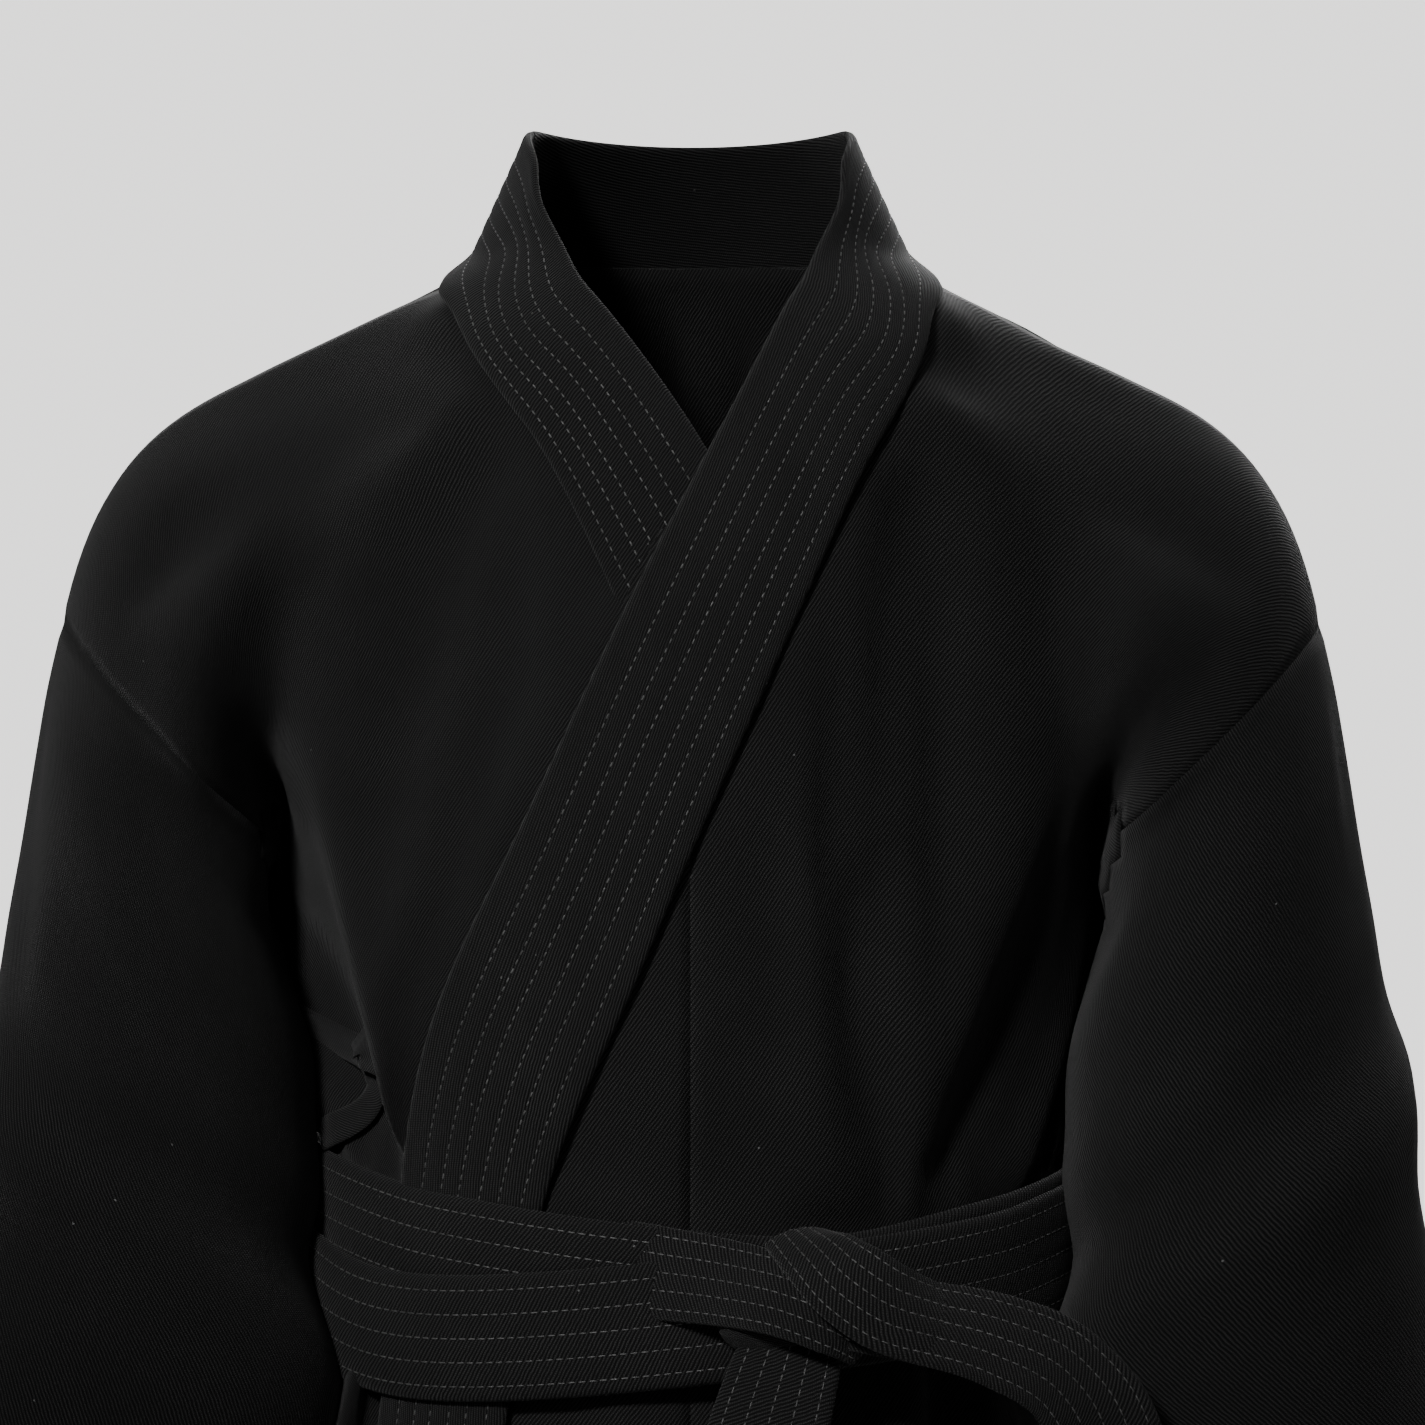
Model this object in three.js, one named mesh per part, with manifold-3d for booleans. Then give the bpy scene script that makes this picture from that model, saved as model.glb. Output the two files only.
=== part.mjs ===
// A child's martial arts uniform in the shape it has when worn: a wrap jacket with a stitched lapel
// band, a tied belt and loose trousers. Millimetres, +Z up, the front faces -Y and +X is the wearer's
// left. The origin is the middle of the neck opening, level with the foot of the collar.
import * as THREE from "three";
import { mergeVertices } from "three/addons/utils/BufferGeometryUtils.js";
import Module from "manifold-3d";

const wasm = await Module();
wasm.setup();

// ---- Driving dimensions -------------------------------------------------------------------------
const CLOTH = 1.5; // cloth thickness
const LAYER_GAP = 1.2; // between two layers that lie on each other
const SEAM_GAP = 0.4; // between two panels that are sewn edge to edge
const BAND_THICK = 3; // the lapel band is several plies
const BAND_WIDTH = 50;
const COLLAR_TOP = 44;
const BELT_WIDTH = 40;
const BELT_THICK = 3;
const TIE_WIDTH = 12;

const NECK = { w: 72, d: 60, y: 9 }; // half width, half depth and middle of the neck ring
const CHEST = { z: -180, w: 131, d: 106 };
const WAIST = { z: -315, w: 119, d: 91 };
const HEM = { z: -600, room: { w: 22, d: 29 } };
const SKIRT_ROOM = { w: 18, d: 12 };
const VENT_TOP = -470;
const VENT_GAP = 3;

const SEAT = { top: -326, bottom: -560, w: 134, d: 100 };
const LEG_HEM = -1095;
const WAISTBAND_HEIGHT = 38;

const CUFF_Z = -480;
const ELBOW = { z: -262, y: -4, max: 45 };
const KNEE = { z: -770, y: -6, max: 45 };
const SWING_GAP = 3; // between a moving piece and the one that it turns in
const JOINT_COVER = 11; // how far past the limb's depth the turning cut goes

const NECK_STEPS = 28; // sides of the body's rings
const LIMB_STEPS = 18; // sides of a sleeve's or leg's rings
const FAR = 700; // past everything, for the cutting blocks

// ---- Forms: the outer shape of the garment by height --------------------------------------------
const lerp = THREE.MathUtils.lerp;
const degrees = THREE.MathUtils.degToRad;

// The value at a place on a smooth curve through [place, value] pairs, straight past its ends.
function along(pairs, at) {
  const rising = pairs[0][0] < pairs[pairs.length - 1][0];
  const p = rising ? pairs : [...pairs].reverse();
  const slope = (i, j) => (p[j][1] - p[i][1]) / (p[j][0] - p[i][0]);
  const last = p.length - 1;
  if (at <= p[0][0]) return p[0][1] + slope(0, 1) * (at - p[0][0]);
  if (at >= p[last][0]) return p[last][1] + slope(last - 1, last) * (at - p[last][0]);
  const i = p.findIndex((pair) => pair[0] > at) - 1;
  const span = p[i + 1][0] - p[i][0];
  const t = (at - p[i][0]) / span;
  const m0 = slope(Math.max(i - 1, 0), i + 1) * span;
  const m1 = slope(i, Math.min(i + 2, last)) * span;
  const t2 = t * t;
  const t3 = t2 * t;
  return (
    (2 * t3 - 3 * t2 + 1) * p[i][1] + (t3 - 2 * t2 + t) * m0 + (3 * t2 - 2 * t3) * p[i + 1][1] + (t3 - t2) * m1
  );
}

// A form is a list of {z, x, y, w, d}: the middle, half width and half depth of an oval at a height,
// straight from one to the next.
function oval(form, z) {
  const rising = [...form].sort((a, b) => a.z - b.z);
  const i = THREE.MathUtils.clamp(rising.findIndex((s) => s.z > z), 1, form.length - 1);
  const [low, high] = z >= rising[form.length - 1].z ? rising.slice(-2) : [rising[i - 1], rising[i]];
  const read = (key) => lerp(low[key] ?? 0, high[key] ?? 0, (z - low.z) / (high.z - low.z));
  return { x: read("x"), y: read("y"), w: read("w"), d: read("d") };
}

// A point on a form. turn is in degrees: 0 is the front, 90 the wearer's left and 180 the back.
function onForm(form, turn, z, lift = 0) {
  const point = (t, h) => {
    const o = oval(form, h);
    return new THREE.Vector3(o.x + o.w * Math.sin(degrees(t)), o.y - o.d * Math.cos(degrees(t)), h);
  };
  const here = point(turn, z);
  if (lift === 0) return here;
  const side = point(turn + 1, z).sub(point(turn - 1, z));
  const up = point(turn, z + 1).sub(point(turn, z - 1));
  return here.addScaledVector(side.cross(up).normalize(), lift);
}

const HIPS = [
  { z: SEAT.top + 41, w: WAIST.w - 13, d: WAIST.d - 12 },
  { z: SEAT.top - 9, w: WAIST.w - 11, d: WAIST.d - 10 },
  { z: SEAT.top - 34, w: WAIST.w - 9, d: WAIST.d - 10 },
  { z: SEAT.top - 84, w: WAIST.w - 1, d: WAIST.d - 4 },
  { z: SEAT.bottom + 80, w: SEAT.w - 4, d: SEAT.d - 2 },
  { z: SEAT.bottom, w: SEAT.w, d: SEAT.d },
];

const LEG = [
  { z: SEAT.bottom + 80, x: 64, y: 0, w: 58, d: 88 },
  { z: SEAT.bottom, x: 70, y: 0, w: 66, d: 92 },
  { z: SEAT.bottom - 80, x: 76, y: 0, w: 71, d: 90 },
  { z: KNEE.z, x: 84, y: -2, w: 72, d: 84 },
  { z: -900, x: 91, y: 0, w: 72, d: 80 },
  { z: LEG_HEM, x: 98, y: 4, w: 72, d: 78 },
];

// The jacket hangs clear of the trousers: room is added to the hips and, at the hem, to both legs.
const overHips = (z, room) => ({ z, y: 0, w: oval(HIPS, z).w + room.w, d: oval(HIPS, z).d + room.d });
const overLegs = (z, room) => ({ z, y: 0, w: oval(LEG, z).x + oval(LEG, z).w + room.w, d: oval(LEG, z).d + room.d });

const BODY = [
  { z: COLLAR_TOP, y: NECK.y, w: NECK.w - 20, d: NECK.d - 15 },
  { z: 0, ...NECK },
  { z: -12, y: NECK.y, w: NECK.w + 22, d: NECK.d + 6 },
  { z: -30, y: NECK.y, w: CHEST.w - 14, d: CHEST.d - 30 },
  { z: -55, y: NECK.y - 1, w: CHEST.w - 6, d: CHEST.d - 18 },
  { z: -85, y: NECK.y - 3, w: CHEST.w - 3, d: CHEST.d - 9 },
  { z: -120, y: 4, w: CHEST.w - 2, d: CHEST.d - 3 },
  { z: CHEST.z, y: 2, w: CHEST.w, d: CHEST.d },
  { z: (CHEST.z + WAIST.z) / 2, y: 0, w: CHEST.w - 3, d: CHEST.d - 4 },
  { z: WAIST.z + 25 + BELT_WIDTH / 2, y: 0, w: WAIST.w + 5, d: WAIST.d + 5 },
  { z: WAIST.z + 10 + BELT_WIDTH / 2, y: 0, w: WAIST.w + 1, d: WAIST.d + 1 },
  { z: WAIST.z - 15 - BELT_WIDTH / 2, y: 0, w: WAIST.w + 1, d: WAIST.d + 1 },
  { z: WAIST.z - 40 - BELT_WIDTH / 2, y: 0, w: WAIST.w + 5, d: WAIST.d + 4 },
  overHips(WAIST.z - 75 - BELT_WIDTH / 2, SKIRT_ROOM),
  overHips(SEAT.bottom + 80, SKIRT_ROOM),
  overLegs(SEAT.bottom, HEM.room),
  overLegs(HEM.z, HEM.room),
];

// The belt pulls the jacket in to a straight band at the waist.
const CINCH = [
  { z: WAIST.z + 60, w: WAIST.w + 1, d: WAIST.d + 1 },
  { z: WAIST.z - 60, w: WAIST.w + 1, d: WAIST.d + 1 },
];

// The arm and sleeve on the wearer's left. Its inner side clears the body below the armpit.
const ARM_CLEAR = 6;
const ARMPIT_Z = -165;
const ARM = [
  { z: -26, x: CHEST.w - 11, y: 4, w: 14, d: 20 },
  { z: -38, x: CHEST.w - 9, y: 3, w: 32, d: 42 },
  { z: -62, x: CHEST.w - 7, y: 1, w: 50, d: 60 },
  { z: -100, x: CHEST.w + 6, y: 0, w: 53, d: 67 },
  { z: ARMPIT_Z, x: CHEST.w + ARM_CLEAR + 38, y: 0, w: 38, d: 67 },
  { z: -230, x: CHEST.w + 57, y: -2, w: 46, d: 63 },
  { z: -300, x: CHEST.w + 67, y: -5, w: 50, d: 60 },
  { z: -400, x: CHEST.w + 77, y: -12, w: 51, d: 57 },
  { z: CUFF_Z, x: CHEST.w + 84, y: -20, w: 50, d: 55 },
];

// ---- Solids -------------------------------------------------------------------------------------
// A closed geometry as a manifold-3d solid.
function solid(geometry) {
  const bare = geometry.index ? geometry.clone() : mergeVertices(stripped(geometry), 1e-4);
  const merged = mergeVertices(stripped(bare), 1e-4);
  return new wasm.Manifold(
    new wasm.Mesh({
      numProp: 3,
      vertProperties: new Float32Array(merged.attributes.position.array),
      triVerts: new Uint32Array(merged.index.array),
    }),
  );
}

function stripped(geometry) {
  const bare = geometry.clone();
  bare.deleteAttribute("normal");
  bare.deleteAttribute("uv");
  return bare;
}

function geometryOf(made) {
  const mesh = made.getMesh();
  const places = new Float32Array(mesh.numVert * 3);
  for (let i = 0; i < mesh.numVert; i++)
    places.set(mesh.vertProperties.subarray(i * mesh.numProp, i * mesh.numProp + 3), i * 3);
  const geometry = new THREE.BufferGeometry()
    .setAttribute("position", new THREE.BufferAttribute(places, 3))
    .setIndex(new THREE.BufferAttribute(new Uint32Array(mesh.triVerts), 1));
  geometry.computeVertexNormals();
  return geometry;
}

function fromQuads(points, quads, triangles = []) {
  const index = quads.flatMap(([a, b, c, d]) => [a, b, c, a, c, d]).concat(triangles.flat());
  const geometry = new THREE.BufferGeometry()
    .setAttribute("position", new THREE.Float32BufferAttribute(points.flatMap((p) => [p.x, p.y, p.z]), 3))
    .setIndex(index);
  const made = solid(geometry);
  if (made.volume() > 0) return made;
  const turned = [];
  for (let i = 0; i < index.length; i += 3) turned.push(index[i], index[i + 2], index[i + 1]);
  return solid(geometry.clone().setIndex(turned));
}

// A thin solid between two lifts of a surface. place(u, v, lift) has u and v from 0 to 1; a ring
// closes on itself along u.
function sheet(place, across, down, low, high, ring = false) {
  const columns = ring ? across : across + 1;
  const points = [];
  for (const lift of [low, high])
    for (let j = 0; j <= down; j++)
      for (let i = 0; i < columns; i++) points.push(place(i / across, j / down, lift));
  const at = (layer, i, j) => layer * columns * (down + 1) + j * columns + (i % columns);
  const quads = [];
  for (let j = 0; j < down; j++)
    for (let i = 0; i < across; i++) {
      quads.push([at(0, i, j), at(0, i, j + 1), at(0, i + 1, j + 1), at(0, i + 1, j)]);
      quads.push([at(1, i, j), at(1, i + 1, j), at(1, i + 1, j + 1), at(1, i, j + 1)]);
    }
  for (let i = 0; i < across; i++) {
    quads.push([at(0, i, 0), at(0, i + 1, 0), at(1, i + 1, 0), at(1, i, 0)]);
    quads.push([at(0, i + 1, down), at(0, i, down), at(1, i, down), at(1, i + 1, down)]);
  }
  for (let j = 0; j < down && !ring; j++) {
    quads.push([at(0, 0, j + 1), at(0, 0, j), at(1, 0, j), at(1, 0, j + 1)]);
    quads.push([at(0, across, j), at(0, across, j + 1), at(1, across, j + 1), at(1, across, j)]);
  }
  return fromQuads(points, quads);
}

// The filled solid inside a form between two heights.
function filled(form, bottom, top, lift, steps) {
  const between = form.map((s) => s.z).filter((z) => z > bottom + 1 && z < top - 1);
  const heights = [bottom, ...between.sort((a, b) => a - b), top];
  const levels = heights.length - 1;
  const points = [];
  for (const z of heights)
    for (let i = 0; i < steps; i++) points.push(onForm(form, (360 * i) / steps, z, lift));
  for (let i = 0; i < points.length; i++) points[i].z = heights[Math.floor(i / steps)];
  const quads = [];
  for (let j = 0; j < levels; j++)
    for (let i = 0; i < steps; i++) {
      const k = (i + 1) % steps;
      quads.push([j * steps + i, j * steps + k, (j + 1) * steps + k, (j + 1) * steps + i]);
    }
  const triangles = [];
  const last = levels * steps;
  for (let i = 1; i < steps - 1; i++) triangles.push([0, i + 1, i], [last, last + i, last + i + 1]);
  return fromQuads(points, quads, triangles);
}

const mirrored = (made) => made.mirror([1, 0, 0]);
const box = (low, high) =>
  solid(
    new THREE.BoxGeometry(high[0] - low[0], high[1] - low[1], high[2] - low[2]).translate(
      ...low.map((v, i) => (v + high[i]) / 2),
    ),
  );

// A block through the whole garment from front to back, with an outline of [x, z] points.
function prism(outline, front, back) {
  const shape = new THREE.Shape(outline.map(([x, z]) => new THREE.Vector2(x, z)));
  const geometry = new THREE.ExtrudeGeometry(shape, { depth: back - front, bevelEnabled: false, steps: 1 });
  return solid(geometry.rotateX(Math.PI / 2).translate(0, back, 0));
}

// A round bar along X about a joint, which the two halves of a sleeve or leg turn on.
function roller(x, joint, radius, length) {
  const bar = new THREE.CylinderGeometry(radius, radius, length, 40);
  return solid(bar.rotateZ(Math.PI / 2).translate(x, joint.y, joint.z));
}

// ---- The lapel band, as [turn, z] on the body form: its seam edge and a line on its other side -----
const BAND_SEAM = [
  [90, 0],
  [55, -19],
  [33, -50],
  [23, -81],
  [3, -177],
  [-10, -245],
  [-24.5, -312],
  [-29, -430],
  [-31, HEM.z],
];
const BAND_FAR = [
  [90, COLLAR_TOP],
  [60, COLLAR_TOP - 8],
  [27, -5],
  [12, -27],
  [-7, -105],
  [-25, -189],
  [-50, -290],
  [-51, -430],
  [-48, HEM.z],
];
const BAND_REACH = 50; // from the seam edge to the far line
const BAND_STEPS = 34;

// A point on one of the band's edges, s from 0 at the shoulder to 1 at the hem.
function bandEdge(edge, s) {
  const place = s * (edge.length - 1);
  const turn = along(edge.map((p, i) => [i, p[0]]), place);
  const z = along(edge.map((p, i) => [i, p[1]]), place);
  return { turn, z };
}

const band = (low, high, grow = 0) =>
  sheet(
    (u, v, lift) => {
      const seam = bandEdge(BAND_SEAM, u);
      const free = bandEdge(BAND_FAR, u);
      const across = lerp(-grow, BAND_WIDTH + grow, v) / BAND_REACH;
      return onForm(BODY, lerp(seam.turn, free.turn, across), lerp(seam.z, free.z, across), lift);
    },
    BAND_STEPS,
    3,
    low,
    high,
  );

// The seam edge in the front view, from the shoulder to past the hem.
const SEAM_LINE = Array.from({ length: BAND_STEPS + 1 }, (_, i) => {
  const { turn, z } = bandEdge(BAND_SEAM, i / BAND_STEPS);
  return [onForm(BODY, turn, z).x, z];
});
SEAM_LINE.unshift([SEAM_LINE[0][0], 20]);
SEAM_LINE.push([SEAM_LINE[BAND_STEPS + 1][0], HEM.z - 20]);

// ---- Jacket -------------------------------------------------------------------------------------
// Everything inside the jacket's surface, less lift: body and both sleeves as one.
function jacketInside(lift, past) {
  const body = filled(BODY, HEM.z - past, past, lift, NECK_STEPS);
  const arm = filled(ARM, CUFF_Z - past, ARM[0].z + Math.min(lift, 0), lift, LIMB_STEPS);
  return body.add(arm).add(mirrored(arm));
}
const layer = (outer, inner) => jacketInside(outer, 0).subtract(jacketInside(inner, 5));

const outerLayer = layer(0, -CLOTH);
const underLift = -(CLOTH + LAYER_GAP);
const underLayer = layer(underLift, underLift - CLOTH);

// The sleeve seam is a slanted plane round the upper arm.
const SLEEVE_SEAM = { outer: [CHEST.w + 72, -130], inner: [CHEST.w + 2, -168] };
const sleeveBlock = (gap) => {
  const [xo, zo] = SLEEVE_SEAM.outer;
  const [xi, zi] = SLEEVE_SEAM.inner;
  const rise = (zo - zi) / (xo - xi);
  const at = (x) => zi + rise * (x - xi) - gap;
  const outline = [
    [xi, at(xi)],
    [xi, -FAR],
    [FAR, -FAR],
    [FAR, at(FAR)],
  ];
  return prism(outline, -FAR, FAR);
};
const armZone = filled(ARM, CUFF_Z - 10, ARMPIT_Z + 60, 1, LIMB_STEPS).intersect(sleeveBlock(0));
const bodyOnly = (made) => made.subtract(armZone).subtract(mirrored(armZone));

const vents = box([100, NECK.y - VENT_GAP / 2, HEM.z - 5], [FAR, NECK.y + VENT_GAP / 2, VENT_TOP]);
const GUSSET = { z: -198, half: 24 };
const gussetZone = (grow) => {
  const half = GUSSET.half + grow;
  const diamond = new THREE.BoxGeometry(60, half * 2, half * 2).rotateX(Math.PI / 4);
  return solid(diamond.translate(CHEST.w + 10, NECK.y, GUSSET.z)).intersect(
    box([100, -FAR, -FAR], [FAR, FAR, ARMPIT_Z - 4 + grow]),
  );
};
const trimmed = (made) =>
  bodyOnly(made)
    .subtract(vents)
    .subtract(mirrored(vents))
    .subtract(gussetZone(SEAM_GAP))
    .subtract(mirrored(gussetZone(SEAM_GAP)));

const outerBody = trimmed(outerLayer);
const underBody = trimmed(underLayer);
const frontBlock = prism([[-FAR, -FAR], [FAR, -FAR], [FAR, 20], [-FAR, 20]], -FAR, NECK.y - SEAM_GAP / 2);
const backBlock = prism([[-FAR, -FAR], [FAR, -FAR], [FAR, 20], [-FAR, 20]], NECK.y + SEAM_GAP / 2, FAR);

// The front edge seam, a near-vertical line from the band down to the hem.
const EDGE_SEAM = [
  [5, -150],
  [2, -250],
  [-2, HEM.z - 20],
];
const seamSide = (shift) => [...SEAM_LINE.map(([x, z]) => [x + shift, z]), [FAR, HEM.z - 20], [FAR, 20]];
const edgeSide = (shift) => [
  ...EDGE_SEAM.map(([x, z]) => [x + shift, z]),
  [FAR, HEM.z - 20],
  [FAR, 20],
  [EDGE_SEAM[0][0] + shift, 20],
];
const frontWhole = (made, bandSide) => made.intersect(frontBlock).intersect(prism(bandSide, -FAR, FAR));

const leftFrontAll = frontWhole(outerBody, seamSide(0)).subtract(band(-FAR / 100, FAR / 100, 2 * SEAM_GAP));
const leftFront = leftFrontAll.intersect(prism(edgeSide(SEAM_GAP / 2), -FAR, FAR));
const leftOverlap = leftFrontAll.subtract(prism(edgeSide(-SEAM_GAP / 2), -FAR, FAR));

const rightFrontAll = mirrored(
  frontWhole(mirrored(underBody), seamSide(0)).subtract(band(-FAR / 100, FAR / 100, 2 * SEAM_GAP)),
);
const rightEdge = (shift) => mirrored(prism(edgeSide(shift), -FAR, FAR));
const rightFront = rightFrontAll.intersect(rightEdge(SEAM_GAP / 2));
const rightOverlap = rightFrontAll.subtract(rightEdge(-SEAM_GAP / 2));

const back = outerBody.intersect(backBlock);
const leftHalf = box([SEAM_GAP / 2, -FAR, -2 * FAR], [FAR, FAR, FAR]);

const bandPlies = (outer) =>
  filled(BODY, HEM.z, COLLAR_TOP, outer, NECK_STEPS).subtract(
    filled(BODY, HEM.z - 5, COLLAR_TOP + 5, outer - BAND_THICK, NECK_STEPS),
  );
const bandBlock = band(-BAND_REACH / 4, BAND_REACH / 4);
const leftBand = bandPlies(BAND_THICK - CLOTH).intersect(bandBlock);
const rightBand = bandPlies(underLift).intersect(mirrored(bandBlock));
const collarGap = 1; // degrees of turn between the collar and each lapel
const collarBack = sheet(
  (u, v, lift) => onForm(BODY, lerp(90 + collarGap, 270 - collarGap, u), lerp(1.8, COLLAR_TOP, v), lift),
  16,
  2,
  -CLOTH,
  BAND_THICK - CLOTH,
);

const lining = underLayer
  .intersect(prism([[-FAR, -120], [FAR, -120], [FAR, -6], [-FAR, -6]], NECK.y + 3, FAR))
  .subtract(armZone)
  .subtract(mirrored(armZone));

// Sleeves, cut at the elbow by a roller so that the lower half turns clear of the upper.
const limbRadius = (form, joint) => {
  const o = oval(form, joint.z);
  return o.d + Math.abs(o.y - joint.y) + JOINT_COVER;
};
const elbowRadius = limbRadius(ARM, ELBOW);
const elbowX = oval(ARM, ELBOW.z).x;
const sleeve = layer(0, -CLOTH).intersect(armZone).intersect(sleeveBlock(SEAM_GAP));
const belowElbow = box([-FAR, -FAR, -FAR], [FAR, FAR, ELBOW.z]);
const upperSleeve = sleeve.subtract(belowElbow.subtract(roller(elbowX, ELBOW, elbowRadius, 200)));
const lowerSleeve = sleeve
  .intersect(belowElbow)
  .subtract(roller(elbowX, ELBOW, elbowRadius + SWING_GAP, 200));
const gusset = bodyOnly(outerLayer).intersect(gussetZone(0));

const ventPatch = sheet(
  (u, v, lift) => onForm(BODY, lerp(80, 100, u), lerp(VENT_TOP + 32, VENT_TOP - 2, v), lift),
  4,
  1,
  LAYER_GAP,
  LAYER_GAP + CLOTH,
);

// ---- Belt ---------------------------------------------------------------------------------------
const beltLift = BAND_THICK - CLOTH + LAYER_GAP;
// Height of each turn of the belt, as [turn, z] round the body.
const FIRST_TURN = [
  [-180, WAIST.z + 15],
  [-90, WAIST.z + 10],
  [-40, WAIST.z - 5],
  [15, WAIST.z - 17],
  [50, WAIST.z - 8],
  [90, WAIST.z + 3],
  [180, WAIST.z + 15],
];
const SECOND_TURN = [
  [-180, WAIST.z + 8],
  [-90, WAIST.z - 13],
  [-45, WAIST.z - 30],
  [15, WAIST.z - 20],
  [50, WAIST.z - 12],
  [90, WAIST.z - 1],
  [180, WAIST.z + 8],
];
const wrap = (heights, low) =>
  sheet(
    (u, v, lift) => {
      const turn = lerp(-180, 180, u);
      return onForm(CINCH, turn, along(heights, turn) + lerp(-0.5, 0.5, v) * BELT_WIDTH, lift);
    },
    36,
    1,
    low,
    low + BELT_THICK,
    true,
  );
const firstWrap = wrap(FIRST_TURN, beltLift);
const secondWrap = wrap(SECOND_TURN, beltLift + BELT_THICK + LAYER_GAP);

// A flat strip along points, width wise across a direction that may turn along it.
function strip(points, width, thick, across, steps) {
  const path = new THREE.CatmullRomCurve3(points.map((p) => new THREE.Vector3(...p)), false, "centripetal");
  const sides = across.map((a) => new THREE.Vector3(...a));
  const place = (u, v, lift) => {
    const middle = path.getPoint(u);
    const way = path.getTangent(u);
    const k = u * (sides.length - 1);
    const i = Math.min(Math.floor(k), sides.length - 2);
    const side = sides[i].clone().lerp(sides[i + 1], k - i);
    side.addScaledVector(way, -side.dot(way)).normalize();
    const face = way.clone().cross(side);
    return middle.addScaledVector(side, (v - 0.5) * width).addScaledVector(face, lift);
  };
  return sheet(place, steps, 1, -thick / 2, thick / 2);
}

const wrapFront = CINCH[0].d + beltLift + 2 * BELT_THICK + LAYER_GAP;
const KNOT = { x: 30, y: -(wrapFront + 13), z: WAIST.z - 18, w: 28, d: 12, h: 17 };
const ball = (w, d, h) =>
  solid(new THREE.SphereGeometry(1, 20, 12).scale(w, d, h).translate(KNOT.x, KNOT.y, KNOT.z));
const knotCore = ball(KNOT.w, KNOT.d, KNOT.h);
const barrel = (grow, length) =>
  solid(
    new THREE.CylinderGeometry(1, 1, length, 24)
      .rotateZ(Math.PI / 2)
      .scale(1, KNOT.d + grow, KNOT.h + grow)
      .translate(KNOT.x + 8, KNOT.y, KNOT.z),
  );
const knotWrap = barrel(BELT_THICK, 24)
  .subtract(barrel(LAYER_GAP, 60))
  .intersect(box([-FAR, -FAR, -FAR], [FAR, -(wrapFront + LAYER_GAP), FAR]));

const tailTop = KNOT.z - KNOT.h - 2 * BELT_THICK;
const RIGHT_TAIL = [
  [KNOT.x - 6, KNOT.y - 3, tailTop],
  [KNOT.x - 13, KNOT.y - 7, tailTop - 50],
  [KNOT.x - 26, KNOT.y - 10, tailTop - 150],
  [KNOT.x - 38, KNOT.y - 13, tailTop - 262],
];
const LEFT_TAIL = [
  [KNOT.x + KNOT.w + 5, KNOT.y - 3, KNOT.z],
  [KNOT.x + 55, KNOT.y - 6, KNOT.z - 4],
  [KNOT.x + 82, KNOT.y - 4, KNOT.z - 18],
  [KNOT.x + 98, KNOT.y - 1, KNOT.z - 48],
  [KNOT.x + 106, KNOT.y, KNOT.z - 98],
  [KNOT.x + 109, KNOT.y - 1, KNOT.z - 178],
  [KNOT.x + 110, KNOT.y - 3, KNOT.z - 232],
];
const rightTail = strip(RIGHT_TAIL, BELT_WIDTH, BELT_THICK, [[1, 0, 0.12], [1, 0, 0.12]], 12);
const leftTail = strip(LEFT_TAIL, BELT_WIDTH, BELT_THICK, [[0, 0.1, 1], [0.4, 0.1, 0.9], [1, 0.2, 0.2], [1, 0.1, 0]], 16);

// ---- Ties ---------------------------------------------------------------------------------------
const tieZ = WAIST.z + 36;
const onWaistSide = (turn, z, lift) => onForm(BODY, turn, z, lift).toArray();
const outerTieLoop = strip(
  [
    onWaistSide(-64, tieZ - 2, 8),
    onWaistSide(-72, tieZ + 14, 11),
    onWaistSide(-79, tieZ + 40, 9),
    onWaistSide(-85, tieZ + 30, 13),
    onWaistSide(-81, tieZ + 6, 17),
    onWaistSide(-71, tieZ - 4, 19),
    onWaistSide(-63, tieZ, 17),
  ],
  TIE_WIDTH,
  CLOTH,
  [[0.2, 0.9, 0.3], [0.2, 0.9, 0.3]],
  14,
);
const tieKnot = solid(
  new THREE.SphereGeometry(1, 12, 8).scale(8, 7, 8).translate(...onWaistSide(-56, tieZ, 12)),
);
const innerTieLift = underLift - BAND_THICK - LAYER_GAP;
const innerTie = (from, to) =>
  sheet(
    (u, v, lift) => onForm(BODY, lerp(from, to, u), tieZ + 30 + lerp(-0.5, 0.5, v) * TIE_WIDTH, lift),
    5,
    1,
    innerTieLift - CLOTH,
    innerTieLift,
  );

// ---- Trousers -----------------------------------------------------------------------------------
function trousersInside(lift, past) {
  const hips = filled(HIPS, SEAT.bottom - Math.min(lift, 0), SEAT.top + past, lift, NECK_STEPS);
  const leg = filled(LEG, LEG_HEM - past, SEAT.bottom + 80, lift, LIMB_STEPS);
  return hips.add(leg).add(mirrored(leg));
}
const trousers = trousersInside(0, 0).subtract(trousersInside(-CLOTH, 5));
const crotchZone = (grow) => {
  const half = 40 + grow;
  return solid(
    new THREE.BoxGeometry(half * 2, 2 * FAR, half * 2).rotateY(Math.PI / 4).translate(0, 0, SEAT.bottom + 12),
  );
};
const crotchGusset = trousers.intersect(crotchZone(0));
const legWhole = trousers.subtract(crotchZone(SEAM_GAP)).intersect(leftHalf);
const kneeRadius = limbRadius(LEG, KNEE);
const kneeX = oval(LEG, KNEE.z).x;
const belowKnee = box([-FAR, -FAR, -2 * FAR], [FAR, FAR, KNEE.z]);
const upperLeg = legWhole.subtract(belowKnee.subtract(roller(kneeX, KNEE, kneeRadius, 300)));
const lowerLeg = legWhole.intersect(belowKnee).subtract(roller(kneeX, KNEE, kneeRadius + SWING_GAP, 300));
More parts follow.
